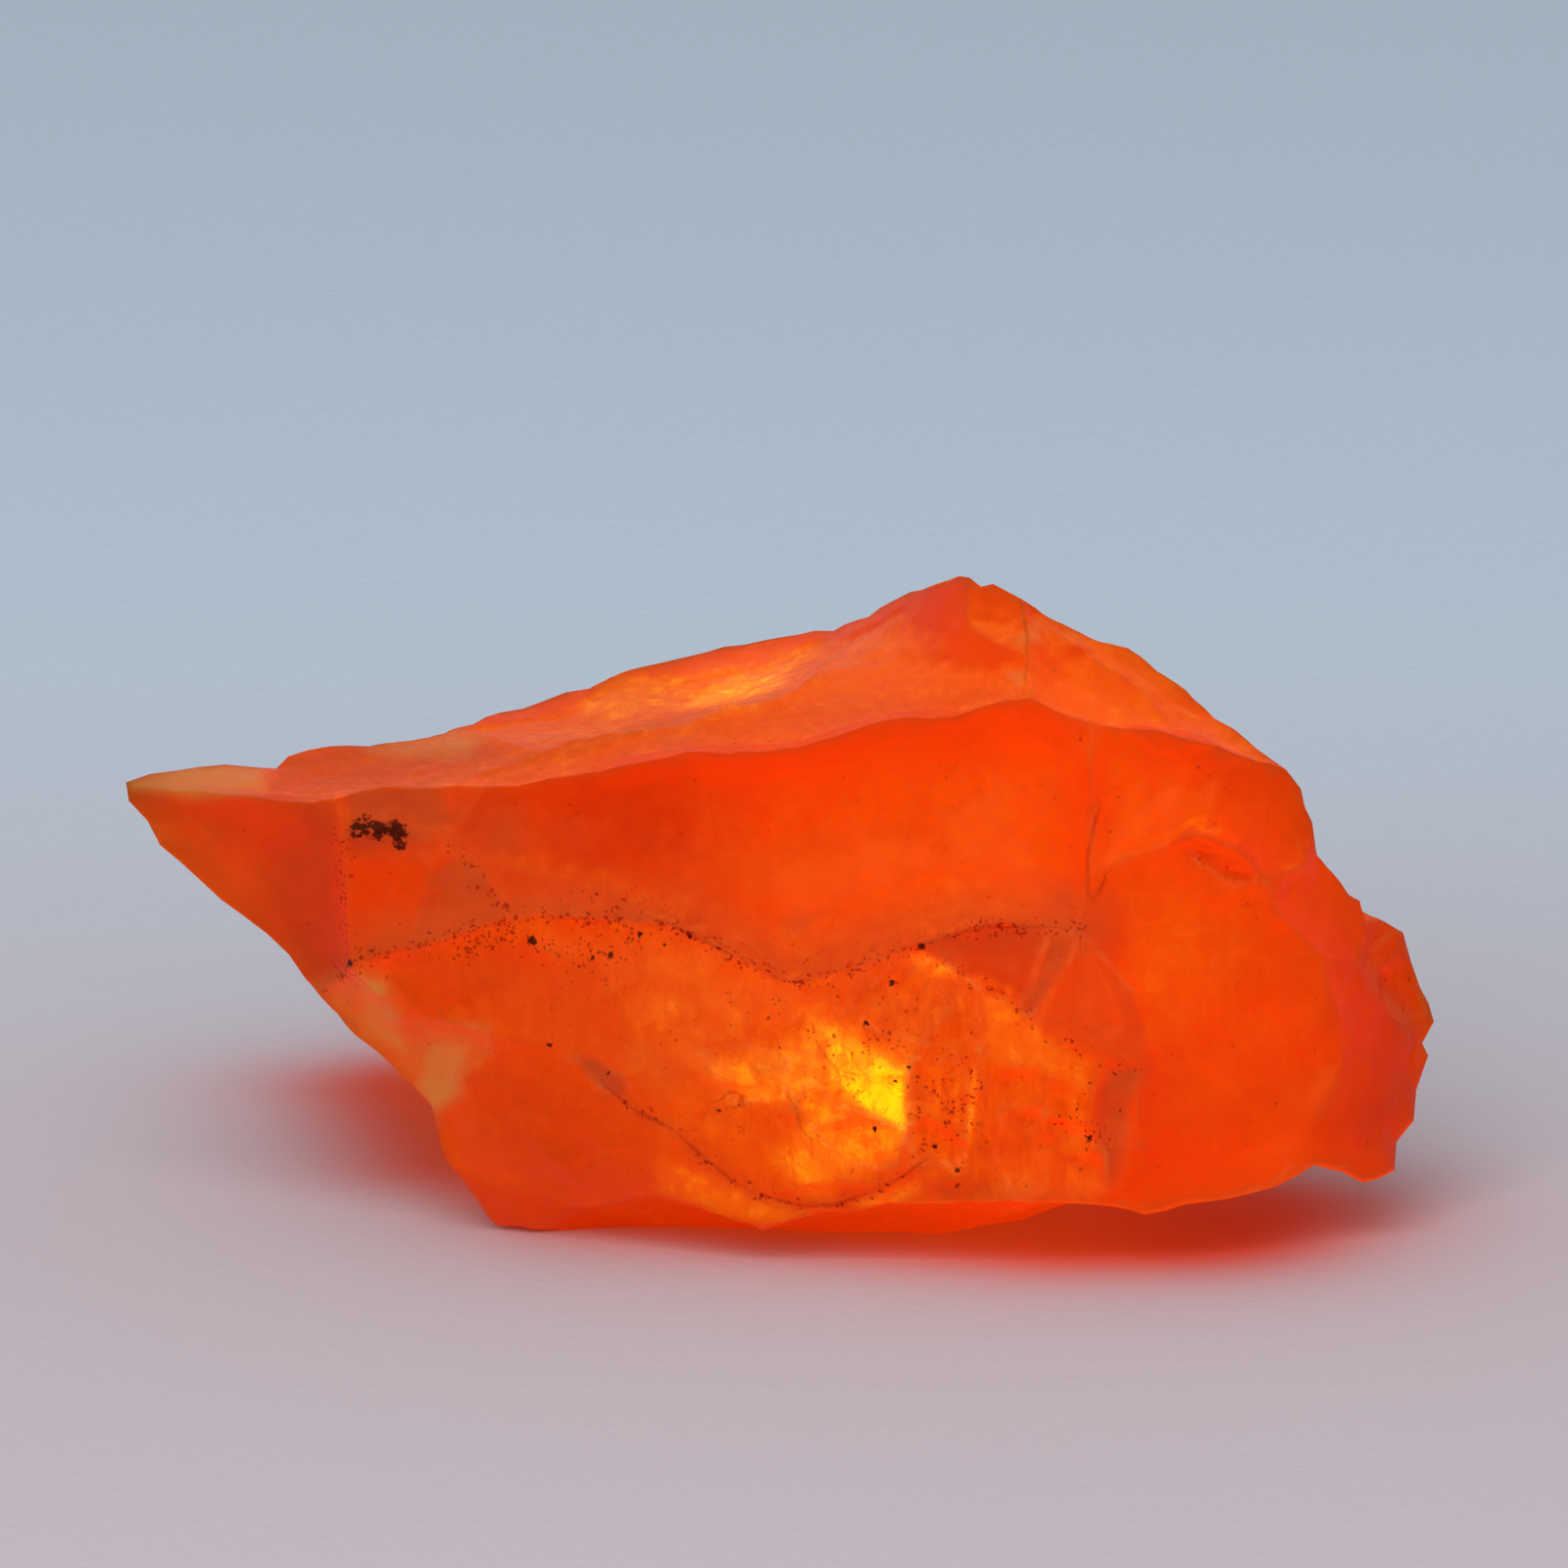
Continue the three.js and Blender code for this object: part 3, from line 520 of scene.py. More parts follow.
# Patches of painted glow, where light seems to shine through the stone.
GLOWING = {
    "belly": ([
        (-2.2, 5.2), (-1.2, 4.9), (0, 4.3), (1, 4.2), (2.1, 4.8), (2.7, 4.7), (4.1, 3.7), (5.3, 2.9),
        (5.4, 1.2), (3.6, 0.5), (2.1, 0.8), (0.9, 0.5), (-0.4, 0.7), (-1.6, 1.5), (-2.6, 2.4),
        (-3.2, 4.2),
    ], 0.21, 0.9),
    "heart of the belly": ([
        (-1.4, 3.1), (-0.6, 3.2), (0.1, 3.4), (0.5, 3.9), (0.9, 3.6), (1.4, 3.3), (2.1, 3.1),
        (2.15, 1.7), (2.1, 1.2), (1.2, 0.9), (0.2, 0.8), (-0.3, 1.2), (0.2, 2), (-0.3, 2.2),
        (-1, 2.2), (-1.4, 2.5),
    ], 0.5, 0.7),
    "bright flake": ([
        (0.35, 3.8), (1, 3.55), (1.9, 3.1), (2.12, 2.9), (2.12, 1.75), (1.5, 1.95), (0.9, 2.2),
        (0.6, 2.6), (0.6, 3.2),
    ], 0.66, 0.5),
    "yellow flake": ([
        (0.75, 2.5), (1, 2.75), (1.5, 2.95), (2.12, 2.9), (2.15, 1.8), (2.05, 1.67), (1.4, 2.05),
        (1, 2.35),
    ], 0.86, 0.3),
    "brightest yellow": ([
        (1.1, 2.35), (1.5, 2.65), (2.1, 2.65), (2.13, 1.8), (2.03, 1.7), (1.5, 2.05),
    ], 1, 0.25),
    "slope under the crest line": ([
        (0.2, 1.9), (0.6, 1.5), (1, 1.1), (0.8, 0.6), (0.3, 0.7), (0, 1.2),
    ], 0.56, 0.5),
    "ripple": ([(-1, 2.6), (-0.7, 2.8), (-0.1, 2.6), (0.2, 2.2), (-0.5, 2.2), (-0.9, 2.3)], 0.6, 0.4),
    "fleck over the ripple": ([(-1, 3.9), (-0.6, 3.8), (-0.6, 3.3), (-1, 3.3)], 0.42, 0.4),
    "shelf under the fold": ([
        (-2.1, 1.4), (-1.2, 1), (0, 0.5), (0.6, 0.4), (-0.2, 0.1), (-1, 0.3), (-2.2, 0.7),
    ], 0.36, 0.3),
    "right end of the shelf": ([(1.1, 0.5), (1.8, 0.8), (2.3, 1), (2.4, 0.7), (1.6, 0.4)], 0.45, 0.2),
    "flake at the lip": ([(2.1, 4.8), (2.5, 4.8), (3.3, 4.3), (2.8, 4.3), (2.2, 4.4)], 0.42, 0.25),
    "flake under the lower lip": ([
        (3.3, 4.1), (3.7, 4.1), (4.2, 3.6), (5.2, 2.9), (5.2, 2.2), (4.5, 2.6), (3.5, 2.8),
        (3.35, 3.5),
    ], 0.33, 0.3),
    "wrinkled flakes": ([
        (2.2, 3), (3.35, 3), (3.3, 1.6), (3.05, 1.1), (2.9, 1.6), (2.5, 1.5), (2.2, 1.7),
    ], 0.2, 0.2),
    "right wrinkle": ([(3.2, 2.9), (3.3, 2.9), (3.28, 2.1), (3.1, 1.1), (3.1, 1.9)], 0.5, 0.12),
    "left wrinkle": ([(2.9, 2.6), (2.97, 2.6), (3.02, 1.4), (2.93, 1.8)], 0.5, 0.12),
    "fleck left of the ripple": ([
        (-2.3, 4.2), (-1.7, 4.1), (-1.6, 3.6), (-2, 3.3), (-2.5, 3.5),
    ], 0.34, 0.4),
    "hollow of the top": ([
        (-3.2, 8.5), (-1.6, 8.7), (-0.4, 8.9), (0.3, 9.3), (1.2, 9.8), (0.6, 10.2), (-0.5, 10.2),
        (-1.9, 9.8), (-2.6, 9.6), (-4.2, 8.9),
    ], 0.43, 0.6),
    "bright part of that hollow": ([
        (-2, 8.7), (-0.5, 8.8), (0.1, 9.2), (0.5, 9.9), (-0.6, 9.7), (-1.6, 9.3),
    ], 0.66, 0.6),
    "beak": ([
        (-10.4, 6.9), (-9.8, 6.9), (-9.1, 6.4), (-8.8, 5.9), (-9.4, 5.7), (-10, 6.2),
    ], 0.22, 1.2),
    "block": ([(5.2, 5.4), (6.5, 6.3), (8.2, 6), (8.5, 4.5), (7, 3), (6, 3), (5.3, 4.8)], 0.17, 1.5),
    "blunt end": ([
        (5.4, 8), (6, 8.5), (8.5, 7.6), (9.8, 5.5), (9.5, 2), (6.5, 1.5), (5.5, 3), (5.2, 5.5),
    ], 0.09, 1.5),
    "upper wall": ([(-1, 5.6), (1, 5.6), (4.5, 6), (5, 8.2), (2, 8.2), (-2, 7.5)], 0.1, 1.2),
    "low right flake": ([(3.6, 2.1), (4.6, 2.1), (5.5, 1.4), (5.4, 0.6), (3.7, 0.6)], 0.22, 0.15),
}
DEEP = {
    "facet under the lip": ([
        (2.9, 4.9), (3.4, 5.2), (4.5, 5.2), (4.3, 4.6), (4.1, 4), (3.6, 4.1), (3.1, 4.5),
    ], 0.55, 0.2),
    "scar over the bright flake": ([
        (1, 4.2), (2, 4.5), (3.1, 4.3), (3.3, 3.6), (3.2, 2.9), (2.6, 3.2), (1.5, 3.5), (1.2, 3.9),
        (0.5, 4.2),
    ], 0.42, 0.4),
    "below the wrinkled flakes": ([
        (2.4, 1.2), (3.1, 1.6), (3.6, 1.8), (3.7, 0.6), (2.7, 0.6),
    ], 0.35, 0.2),
    "left end of the belly": ([
        (-6.8, 4.4), (-6.3, 4.8), (-5, 5.1), (-4, 4.9), (-4.6, 4), (-6.1, 3.5), (-6.4, 3.9),
    ], 0.35, 0.3),
    "foot": ([
        (-5.5, 2.8), (-4.9, 3), (-3.5, 2.7), (-2.4, 2), (-2, 0.8), (-4, 0.6), (-5.5, 1.5),
    ], 0.35, 0.8),
    "eye-shaped chip": ([
        (6.6, 6.8), (7.2, 6.7), (7.8, 6.3), (8.15, 6), (7.6, 5.95), (7, 6.4),
    ], 0.6, 0.25),
    "skin round the soot": ([(-7.4, 7.6), (-5.9, 7.6), (-5.6, 7), (-6.4, 6.6), (-7.3, 6.5)], 1.1, 0.5),
    "left half of the wall": ([
        (-7.6, 7.7), (-1, 8), (0.5, 6.5), (-1, 5.5), (-5, 5.5), (-7.6, 4.6),
    ], 0.35, 1.5),
    "heart of that half": ([(-6, 7.4), (-1.5, 7.9), (-1, 6.2), (-2.5, 5.8), (-5.2, 5.9)], 0.6, 1.2),
    "beak": ([(-11.2, 8), (-7.5, 7.4), (-7.4, 4.4), (-8, 4), (-11.2, 7.4)], 0.7, 0.4),
    "whole left side": ([(-12, 8), (-4, 8), (-1.5, 5.5), (-4.2, 0), (-12, 0)], 0.2, 4),
    "edge of the blunt end": ([(10.2, 7), (9, 5), (9, 0.6), (12, 0.6), (12, 7)], 0.35, 1.6),
}
# Thin scars where a chip came off, each with its corners, its depth and the width of its soft rim.
SCARS = {
    "scar over the bright flake": ([
        (2.1, 4.8), (2.8, 4.6), (3.3, 4.2), (3.3, 2.9), (2.6, 3.2), (1.5, 3.5), (1.2, 3.9),
    ], 0.06, 0.2),
    "wrinkled flakes": ([(2.15, 3), (3.1, 2.9), (3.1, 1.2), (2.2, 1.2)], 0.08, 0.2),
    "low right flake": ([
        (3.7, 2.2), (4.4, 2.1), (5.5, 1.4), (5.4, 0.5), (4, 0.5), (3.6, 1.2),
    ], 0.07, 0.2),
    "slope under the crest line": ([
        (0.2, 2.2), (0.6, 1.7), (1.1, 1.2), (1.9, 1.1), (2.1, 1.8), (0.9, 2.2), (0.5, 2.7),
    ], 0.07, 0.2),
    "ripple": ([(-1.4, 3.1), (-0.6, 3.2), (0.1, 3), (0.1, 2.4), (-0.8, 2.2)], 0.06, 0.2),
    "skin at the left": ([
        (-7.1, 4.4), (-6.4, 3.6), (-5, 3.5), (-5, 3), (-5.6, 2.6), (-6, 2.1), (-7.2, 3.4),
    ], 0.05, 0.2),
    "grey flake at the fold": ([(-3.5, 3), (-3.1, 3), (-2.6, 2.6), (-2.6, 2.3), (-3, 2.4)], 0.05, 0.2),
    "split facet": ([(4.5, 5.1), (5, 5.1), (4.8, 4.5), (4.2, 3.7), (4, 3.8)], 0.05, 0.2),
    "eye-shaped chip": ([(6.6, 6.8), (7.2, 6.8), (8.1, 6), (7.6, 5.9), (7, 6.3)], 0.09, 0.2),
    "shell-broken end": ([(9.9, 4.7), (10.5, 5.2), (11, 3.7), (10.5, 3.6), (10.1, 4.2)], 0.08, 0.2),
}


def inside(spots, corners, soft):
    """1 well inside a patch with these corners, 0 well outside it, and between them at its rim."""
    across, up = spots.T
    within = np.zeros(len(spots), bool)
    for (left, low), (right, high) in zip(corners, corners[1:] + corners[:1]):
        if low != high:
            crossed = (low > up) != (high > up)
            within ^= crossed & (across < left + (right - left) * (up - low) / (high - low))
    gap = distance_to(spots, corners + corners[:1])
    return np.clip(0.5 + np.where(within, gap, -gap) / soft, 0, 1)


def patches(spots, table):
    """The strongest of some patches at each spot."""
    marks = [strength * inside(spots, corners, soft) for corners, strength, soft in table.values()]
    return np.maximum.reduce(marks)


def nearest_of(spots, lines):
    """The distance to the nearest of some lines, with a sign that changes where it is crossed."""
    gaps = np.array([beside(spots, line) for line in lines])
    return gaps[np.abs(gaps).argmin(axis=0), np.arange(len(spots))]


def lines(spots, table):
    """The strongest of some lines at each spot."""
    return np.maximum.reduce([strength * along(spots, line, reach) for line, strength, reach in table])


def facing_front(depth):
    """1 where the stone faces forward, 0 where it faces back."""
    return np.clip((FRONT_LIMIT - depth) / FRONT_FADE, 0, 1)


class Net:
    """The points of a piece and the edges that join them."""

    def __init__(self, piece):
        ends = np.zeros(len(piece.data.edges) * 2, np.int32)
        piece.data.edges.foreach_get("vertices", ends)
        self.first, self.second = ends.reshape(-1, 2).T
        self.counts = np.bincount(ends)[:, None]

    def mean(self, values):
        """The mean of each point's neighbours."""
        total = np.zeros_like(values)
        np.add.at(total, self.first, values[self.second])
        np.add.at(total, self.second, values[self.first])
        return total / self.counts

    def least(self, values):
        """The least of each point and its neighbours."""
        lowest = values.copy()
        np.minimum.at(lowest, self.first, values[self.second])
        np.minimum.at(lowest, self.second, values[self.first])
        return lowest


def thickness_of(piece, net):
    """How thick the stone is behind each point, in millimetres."""
    places = places_of(piece)
    facings = facings_of(piece)
    corners = np.zeros(len(piece.data.loops), np.int32)
    piece.data.loops.foreach_get("vertex_index", corners)
    walls = BVHTree.FromPolygons(places.tolist(), corners.reshape(-1, 3).tolist(), all_triangles=True)
    starts = (places - facings * UNDER_SKIN).tolist()
    gaps = [walls.ray_cast(start, inward)[3] for start, inward in zip(starts, (-facings).tolist())]
    thickness = np.array([THICK if gap is None else gap for gap in gaps])
    for _ in range(THIN_ROUNDS):
        thickness = net.least(thickness)
    return thickness


def mark_worn_parts(piece, net):
    """Marks where the stone wears: its edges, its faces, scars on the front and dishes on the back."""
    _, depth, _ = facings_of(piece).T
    sharp = mark_of(piece, "sharp")
    sturdy = np.clip(thickness_of(piece, net) / THICK, 0, 1) * above_rest(piece)
    scars = patches(on_front(places_of(piece)), SCARS) / SCAR_DEPTH * facing_front(depth)
    add_mark(piece, "thin", np.clip(1 - sturdy * 2, 0, 1) * above_rest(piece))
    mark_group(piece, "faces", (1 - sharp) * sturdy)
    mark_group(piece, "edges", sharp * sturdy)
    mark_group(piece, "scars", scars * (1 - sharp) * sturdy)
    mark_group(piece, "back", np.clip((depth - 0.1) / 0.5, 0, 1) * (1 - sharp) * sturdy)


def bends_of(piece, net):
    """How each point lies among its neighbours: above 0 in a crease, below 0 on a ridge."""
    places = places_of(piece)
    bend = np.sum((net.mean(places) - places) * facings_of(piece), axis=1)[:, None]
    for _ in range(2):
        bend = (bend + net.mean(bend)) / 2
    return bend[:, 0]


# How strongly the finish follows the shape, with painted shade, a painted highlight and painted glow.
CREASE_DIRT = 0.45
CREASE_SHADE = 0.25
# Ridges are painted pale: partly worn, partly a painted highlight.
RIDGE_WEAR_AND_HIGHLIGHT = 0.3
LIP_DIRT = 0.35
LIP_HAZE = 0.7
LIP_SHADE = 0.22
BELLY_GLOW = 0.12
TOP_GLOW = 0.3


def mark_stone(piece, net):
    """Marks each point with how strongly each part of the finish shows there."""
    spots = on_front(places_of(piece))
    across, _ = spots.T
    _, depth, rise = facings_of(piece).T
    front = facing_front(depth)
    bend = bends_of(piece, net)
    crease = np.clip(bend / CREASE_BEND, 0, 1)
    ridge = np.clip(-bend / CREASE_BEND, 0, 1)
    belly = inside(spots, BELLY, 0.12)
    above_lip = along(spots, LIP, 1.0) * (1 - belly)
    below_lip = LIP_DIRT * along(spots, LIP, 0.7) * belly
    ovals = [strength * around(spots, *oval) for strength, *oval in DIRTY_OVALS]
    dirt_and_shade = np.maximum.reduce([lines(spots, DIRT_AND_SHADOW_LINES), below_lip, *ovals])
    haze_and_highlight = np.maximum.reduce([patches(spots, HAZY), lines(spots, HAZY_LINES), LIP_HAZE * above_lip])
    glow = np.maximum(patches(spots, GLOWING), BELLY_GLOW * belly) * (1 - np.clip(3 * above_lip, 0, 1))
    # Faces that look up are painted with more glow, as if lit from above.
    top_glow = np.clip(0.8 * (rise - 0.5), 0, TOP_GLOW)
    # Deeper red patches, with painted shade above the lip; painted shade in the creases is added below.
    deep_red_and_shade = np.maximum(patches(spots, DEEP), LIP_SHADE * above_lip)
    # The parts that face down are painted with a red glow, and more so towards the right.
    under = np.clip(-1.6 * rise - 0.3, 0, 1) * np.clip(0.8 + 0.12 * across, 0.5, 1.5)
    rims = [corners + corners[:1] for corners, _, _ in SCARS.values()]
    add_mark(piece, "dirt_and_shade", np.maximum(dirt_and_shade * front, CREASE_DIRT * crease))
    add_mark(piece, "soot", np.clip(1.5 * along(spots, SOOT, 0.35), 0, 1) * front)
    add_mark(piece, "haze_and_highlight", np.maximum(haze_and_highlight * front, RIDGE_WEAR_AND_HIGHLIGHT * ridge))
    add_mark(piece, "cream", patches(spots, CREAMY) * front)
    add_mark(piece, "glow", np.maximum(glow * front, top_glow))
    add_mark(piece, "line", nearest_of(spots, DARK_LINES))
    add_mark(piece, "rim", nearest_of(spots, rims + PALE_LINES))
    add_mark(piece, "front", front)
    add_mark(piece, "deep_red_and_shade", np.maximum(deep_red_and_shade * front, CREASE_SHADE * crease))
    add_mark(piece, "under", under)


# ---- The stone's finish -----------------------------------------------------------------------------

ORANGE = (0.86, 0.084, 0.001, 1)
RED = (0.79, 0.063, 0.001, 1)
DEEP_RED_AND_SHADE = (0.48, 0.026, 0.002, 1)
UNDER_RED = (0.70, 0.060, 0.001, 1)
WARM_ORANGE = (0.84, 0.15, 0.003, 1)
AMBER = (1.0, 0.29, 0.005, 1)
YELLOW = (1.0, 0.45, 0.002, 1)
HAZE_AND_HIGHLIGHT_GREY = (0.50, 0.084, 0.015, 1)
CREAM = (0.68, 0.28, 0.055, 1)
GRAIN_RED = (0.20, 0.009, 0.002, 1)
SOOT_BLACK = (0.02, 0.004, 0.002, 1)
BODY_COLOUR = (1.0, 0.25, 0.02, 1)  # the body keeps green and blue light and lets red through
BODY_DENSITY = 5000.0  # per metre
SHINE_TINT = (1.0, 0.3, 0.08, 1)
SCATTER = (1.0, 0.025, 0.006)  # how far red, green and blue light spread under the skin
SCATTER_REACH = 7 * MM

# Layers of dark grains: how many there are in a millimetre, the share that shows, and their radius as a
# part of their spacing.
GRAINS = [(12.0, 0.8, 0.38), (6.5, 0.7, 0.32)]
# Single larger grains on the front: across, up and radius.
LARGE_GRAINS = [
    (-4.23, 4.98, 0.09), (-3.93, 3.22, 0.045), (-2.96, 2.74, 0.045), (-1.08, 2.11, 0.045),
    (-2, 4.92, 0.05), (-2.9, 4.75, 0.06), (-3.2, 4.7, 0.06), (-2.4, 5.1, 0.06), (-7.3, 4.6, 0.07),
    (-1.57, 5.05, 0.05), (1.41, 3.58, 0.06), (1.85, 4.27, 0.065), (1.57, 1.81, 0.06),
    (2.12, 2.84, 0.05), (1.9, 2.61, 0.045), (2.56, 1.51, 0.055), (2.96, 1.09, 0.055),
    (2.96, 0.83, 0.045), (2.35, 4.9, 0.07), (5.2, 1.67, 0.055),
]
RAGGED = 0.12  # how far noise shifts the outlines of the grains
SHEET_UP = (0, math.sin(LEAN), math.cos(LEAN))


def stone_finish():
    """Cloudy orange stone, with its dirt, haze and milky skin, painted shade and highlight, and a
    painted glow for the light that shines through it.
    """
    finish = Finish("cloudy_orange_stone")
    body = finish.node("ShaderNodeTexCoord", output="Object")
    place = finish.scaled(body, 1 / MM)
    # Patterns in the stone.
    broad = finish.noise(place, 0.22, 2.0)
    patchy = finish.noise(place, 0.5, 3.0, 0.6)
    mottle = finish.noise(place, 1.6, 4.0, 0.6)
    flaky = finish.noise(place, 2.6, 4.0, 0.7, 0.8)
    grain = finish.noise(place, 7.0, 2.0, 0.6)
    streaks = finish.noise(finish.vector("MULTIPLY", place, (5.0, 5.0, 1.1)), 1.0, 3.0, 0.6, 0.5)
    veins = ((0.03 - (flaky - 0.5).size()) * 30).held()
    # Where each part of the finish shows. The back has its own haze and glow.
    front = finish.attribute("front")
    haze_and_highlight = finish.attribute("haze_and_highlight") + (1 - front) * flaky.rising(0.5, 0.75) * 0.35
    haze_and_highlight = (haze_and_highlight * (0.45 + mottle * 0.6 + grain * 0.6)).held()
    cream = (finish.attribute("cream") * (0.6 + mottle * 1.1)).held()
    under = finish.attribute("under")
    thin = finish.attribute("thin")
    # Deeper red with painted shade: a darker colour and less of the painted light.
    deep_red_and_shade = finish.attribute("deep_red_and_shade") * (0.6 + mottle * 0.8)
    glow = finish.attribute("glow") + (1 - front) * patchy.rising(0.45, 0.75) * 0.4
    broken = 1 + finish.attribute("dirt_and_shade").held() * 1.2
    glow = glow + glow * (1.15 - glow) * broken * (flaky * 1.6 + streaks * 1.2 - 1.4)
    glow = (glow - veins * glow * 0.3).held()
    wander = grain * 0.05 - 0.025
    line = 1 - (finish.attribute("line") + wander).size().rising(0.015, 0.05)
    line = line * mottle.rising(0.3, 0.6) * front
    rim = 1 - (finish.attribute("rim") + wander).size().rising(0.02, 0.08)
    rim = rim * flaky.rising(0.35, 0.65) * front
    # Colours, each laid over those before it.
    colour = finish.mix(ORANGE, RED, (broad + mottle * 0.5).rising(0.55, 0.95))
    colour = finish.mix(colour, DEEP_RED_AND_SHADE, deep_red_and_shade)
    colour = finish.mix(colour, WARM_ORANGE, glow.rising(0.0, 0.4))
    colour = finish.mix(colour, AMBER, glow.rising(0.3, 0.65))
    colour = finish.mix(colour, YELLOW, glow.rising(0.6, 0.9))
    colour = finish.mix(colour, RED, thin * 0.8)
    # Milky haze, and on the ridges a painted highlight.
    colour = finish.mix(colour, HAZE_AND_HIGHLIGHT_GREY, haze_and_highlight)
    colour = finish.mix(colour, CREAM, cream)
    colour = finish.mix(colour, CREAM, rim * 0.2)
    # Painted red glow on the faces that look down.
    colour = finish.mix(colour, UNDER_RED, under)
    fine, large = dark_grains(finish, place, front)
    colour = finish.mix(colour, GRAIN_RED, (fine * 0.8 + line * 0.4).held())
    colour = finish.mix(colour, SOOT_BLACK, large)
    # Painted light: an emission that stands in for the light that shines through the stone.
    light = 0.08 + glow * 0.35 + glow ** 3 * 0.7
    light = light * (1 - haze_and_highlight * 0.6) * (1 - deep_red_and_shade * 0.8) * (1 - cream * 0.3) + under * 0.3
    shader = finish.node("ShaderNodeBsdfPrincipled", {"subsurface_method": "BURLEY"}, {
        "Base Color": colour,
        "Roughness": 0.38 + grain * 0.2 + haze_and_highlight * 0.15,
        "IOR": 1.4,
        "Specular IOR Level": 0.15,
        "Specular Tint": SHINE_TINT,
        "Subsurface Weight": 1.0,
        "Subsurface Radius": SCATTER,
        "Subsurface Scale": SCATTER_REACH,
        "Transmission Weight": 0.5,
        "Emission Color": finish.scaled(colour, light),
        "Emission Strength": 1.0,
    })
    clearness = {"Color": BODY_COLOUR, "Density": BODY_DENSITY}
    volume = finish.node("ShaderNodeVolumeAbsorption", None, clearness)
    finish.node("ShaderNodeOutputMaterial", None, {"Surface": shader, "Volume": volume})
    return finish.material


def dark_grains(finish, place, front):
    """Two masks: fine grains, thickest in dirt and painted shade, and large grains with one smear of
    soot.
    """
    cloud = {"Vector": place, "Scale": 9.0, "Detail": 1.0}
    shift = finish.node("ShaderNodeTexNoise", None, cloud, output="Color")
    ragged = finish.vector("MULTIPLY_ADD", shift, (RAGGED, RAGGED, RAGGED), place)
    clumps = finish.noise(place, 2.4, 3.0, 0.7).rising(0.40, 0.62)
    dirt_and_shade = finish.attribute("dirt_and_shade") * (0.3 + clumps * 0.9)
    large = ((finish.attribute("soot") * finish.noise(ragged, 6.0, 4.0, 0.7) - 0.4) * 12).held()
    up = finish.vector("DOT_PRODUCT", ragged, SHEET_UP, output="Value") + SHEET_AHEAD * math.sin(LEAN)
    sheet = finish.node("ShaderNodeCombineXYZ", None, {0: finish.part_of(ragged, "X"), 1: up})
    for across, height, radius in LARGE_GRAINS:
        middle = (across + RAGGED / 2, height + RAGGED / 2, 0)
        large = large + ((radius - finish.distance(sheet, middle)) * 40).held() * front
    fine = 0.0
    for scale, share, radius in GRAINS:
        spacing = {"Vector": ragged, "Scale": scale}
        cells = finish.node("ShaderNodeTexVoronoi", None, spacing, output="Color")
        gap = Wire(finish, cells.socket.node.outputs["Distance"])
        chance = finish.part_of(cells, "X")
        fine = ((dirt_and_shade * share - chance) * 6).held() * ((radius - gap) * 9).held() + fine
    return fine.held(), large.held()


# ---- The studio -------------------------------------------------------------------------------------


def paper_finish():
    """Pale paper with fibres, and a painted red shadow with painted light around the stone."""
    finish = Finish("pale_paper")
    body = finish.node("ShaderNodeTexCoord", output="Object")
    place = finish.vector("MULTIPLY", body, (1 / MM, 1 / MM, 0))
    back = finish.part_of(place, "Y").rising(*PAPER_TURN)
    outer = finish.part_of(place, "X").size().rising(*PAINTED_LIGHT_FADE)
    fibres = finish.noise(place, 3.0, 3.0, 0.7)
    # A painted red shadow round the stone, strongest on its line and fading over its reach.
    painted_shadow = 1 / (1 + (paper_distance(finish, place, PAINTED_SHADOW_LINE) / PAINTED_SHADOW_REACH) ** 4.0)
    paper = finish.mix(PAPER_ROSE, PAPER_BLUE, back)
    paper = finish.mix(paper, PAPER_FIBRE, fibres * 0.3)
    relief = {"Strength": 0.3, "Distance": 0.05 * MM, "Height": fibres}
    shader = finish.node("ShaderNodeBsdfPrincipled", None, {
        "Base Color": finish.mix(paper, PAINTED_SHADOW_RED, painted_shadow),
        "Roughness": 0.9,
        "Specular IOR Level": 0.2,
        "Normal": finish.node("ShaderNodeBump", None, relief),
        "Emission Color": finish.scaled(PAINTED_SHADOW_LIGHT, painted_shadow * (1 - outer * 0.6)),
        "Emission Strength": 1.0,
    })
    finish.node("ShaderNodeOutputMaterial", None, {"Surface": shader})
    return finish.material


def paper_distance(finish, place, line):
    """The distance on the paper to a line through points, in millimetres."""
    nearest = None
    for start, end in zip(line, line[1:]):
        run = (end[0] - start[0], end[1] - start[1], 0)
        length = math.hypot(*run)
        away = finish.vector("SUBTRACT", place, (*start, 0))
        share = finish.vector("DOT_PRODUCT", away, run, output="Value")
        gap = finish.distance(away, finish.scaled(run, (share / length ** 2).held()))
        nearest = nearest.lesser(gap) if nearest else gap
    return nearest


def lay_paper():
    bpy.ops.mesh.primitive_circle_add(vertices=96, radius=PAPER_RADIUS, fill_type="NGON")
    paper = bpy.context.active_object
    paper.name = "paper_floor"
    paper.data.materials.append(paper_finish())


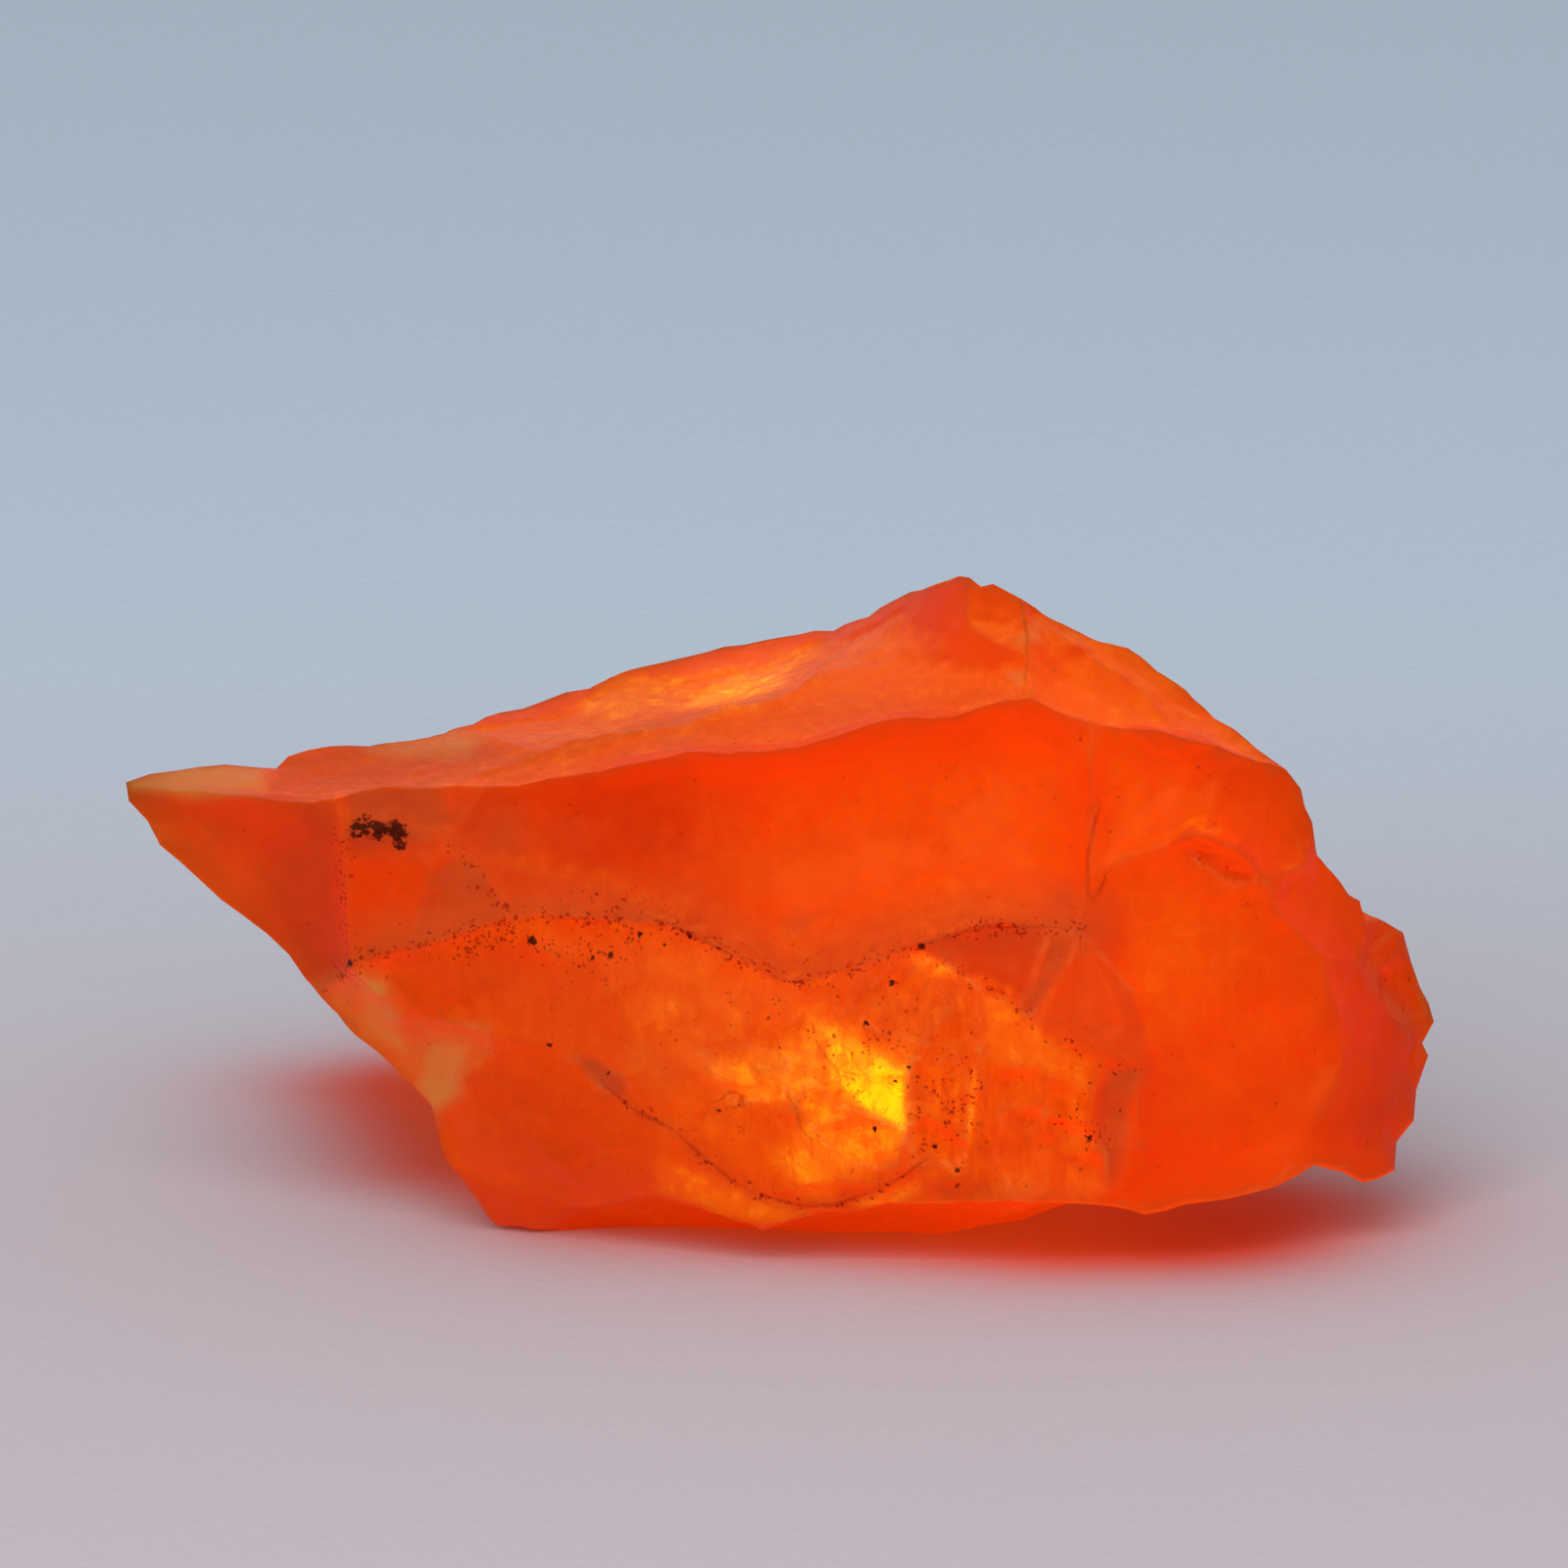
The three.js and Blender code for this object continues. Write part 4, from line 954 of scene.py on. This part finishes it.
def hang_lamp(name, place, aim, size, watts):
    """A softbox, with its place, aim and size in millimetres."""
    lamp = bpy.data.lights.new(name, "AREA")
    lamp.shape = "RECTANGLE"
    lamp.size = size[0] * MM
    lamp.size_y = size[1] * MM
    lamp.energy = watts
    softbox = bpy.data.objects.new(name, lamp)
    softbox.location = Vector(place) * MM
    softbox.rotation_euler = (Vector(aim) - Vector(place)).to_track_quat("-Z", "Y").to_euler()
    softbox.visible_camera = False
    bpy.context.scene.collection.objects.link(softbox)


def set_camera():
    lens = bpy.data.cameras.new("camera")
    lens.sensor_width = SENSOR_WIDTH
    lens.lens = SENSOR_WIDTH * CAMERA_DISTANCE / VIEW_WIDTH
    lens.clip_start = 0.01
    lens.clip_end = 10
    camera = bpy.data.objects.new("camera", lens)
    back = Vector((0, -math.cos(LEAN), math.sin(LEAN)))
    camera.location = CAMERA_AIM + back * CAMERA_DISTANCE
    camera.rotation_euler = (math.pi / 2 - LEAN, 0, 0)
    bpy.context.scene.collection.objects.link(camera)
    bpy.context.scene.camera = camera


def set_sky():
    world = bpy.data.worlds.new("sky")
    world.use_nodes = True
    bpy.context.scene.world = world
    sky = world.node_tree.nodes["Background"]
    sky.inputs["Color"].default_value = SKY
    sky.inputs["Strength"].default_value = SKY_STRENGTH


def main():
    bpy.ops.object.select_all(action="SELECT")
    bpy.ops.object.delete()
    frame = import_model()
    cad_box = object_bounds()
    stone = copy_of_solid(frame["nodes"]["rough_stone"], "cloudy_stone")
    refine(stone)
    net = Net(stone)
    mark_worn_parts(stone, net)
    for wear in WEAR:
        wear_down(stone, *wear)
    keep_within(stone, cad_box)
    select_only(stone)
    bpy.ops.object.shade_smooth_by_angle(angle=SMOOTH_EDGE)
    mark_stone(stone, net)
    stone.data.materials.append(stone_finish())
    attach(stone, "root")
    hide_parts("rough_stone")
    lay_paper()
    hang_lamp("key_softbox", KEY_PLACE, KEY_AIM, KEY_SIZE, KEY_WATTS)
    set_sky()
    set_camera()
    bpy.context.scene.view_settings.view_transform = "Standard"
    cycles = bpy.context.scene.cycles
    cycles.max_bounces = 4
    cycles.diffuse_bounces = 1
    cycles.glossy_bounces = 1
    cycles.transmission_bounces = 2


main()
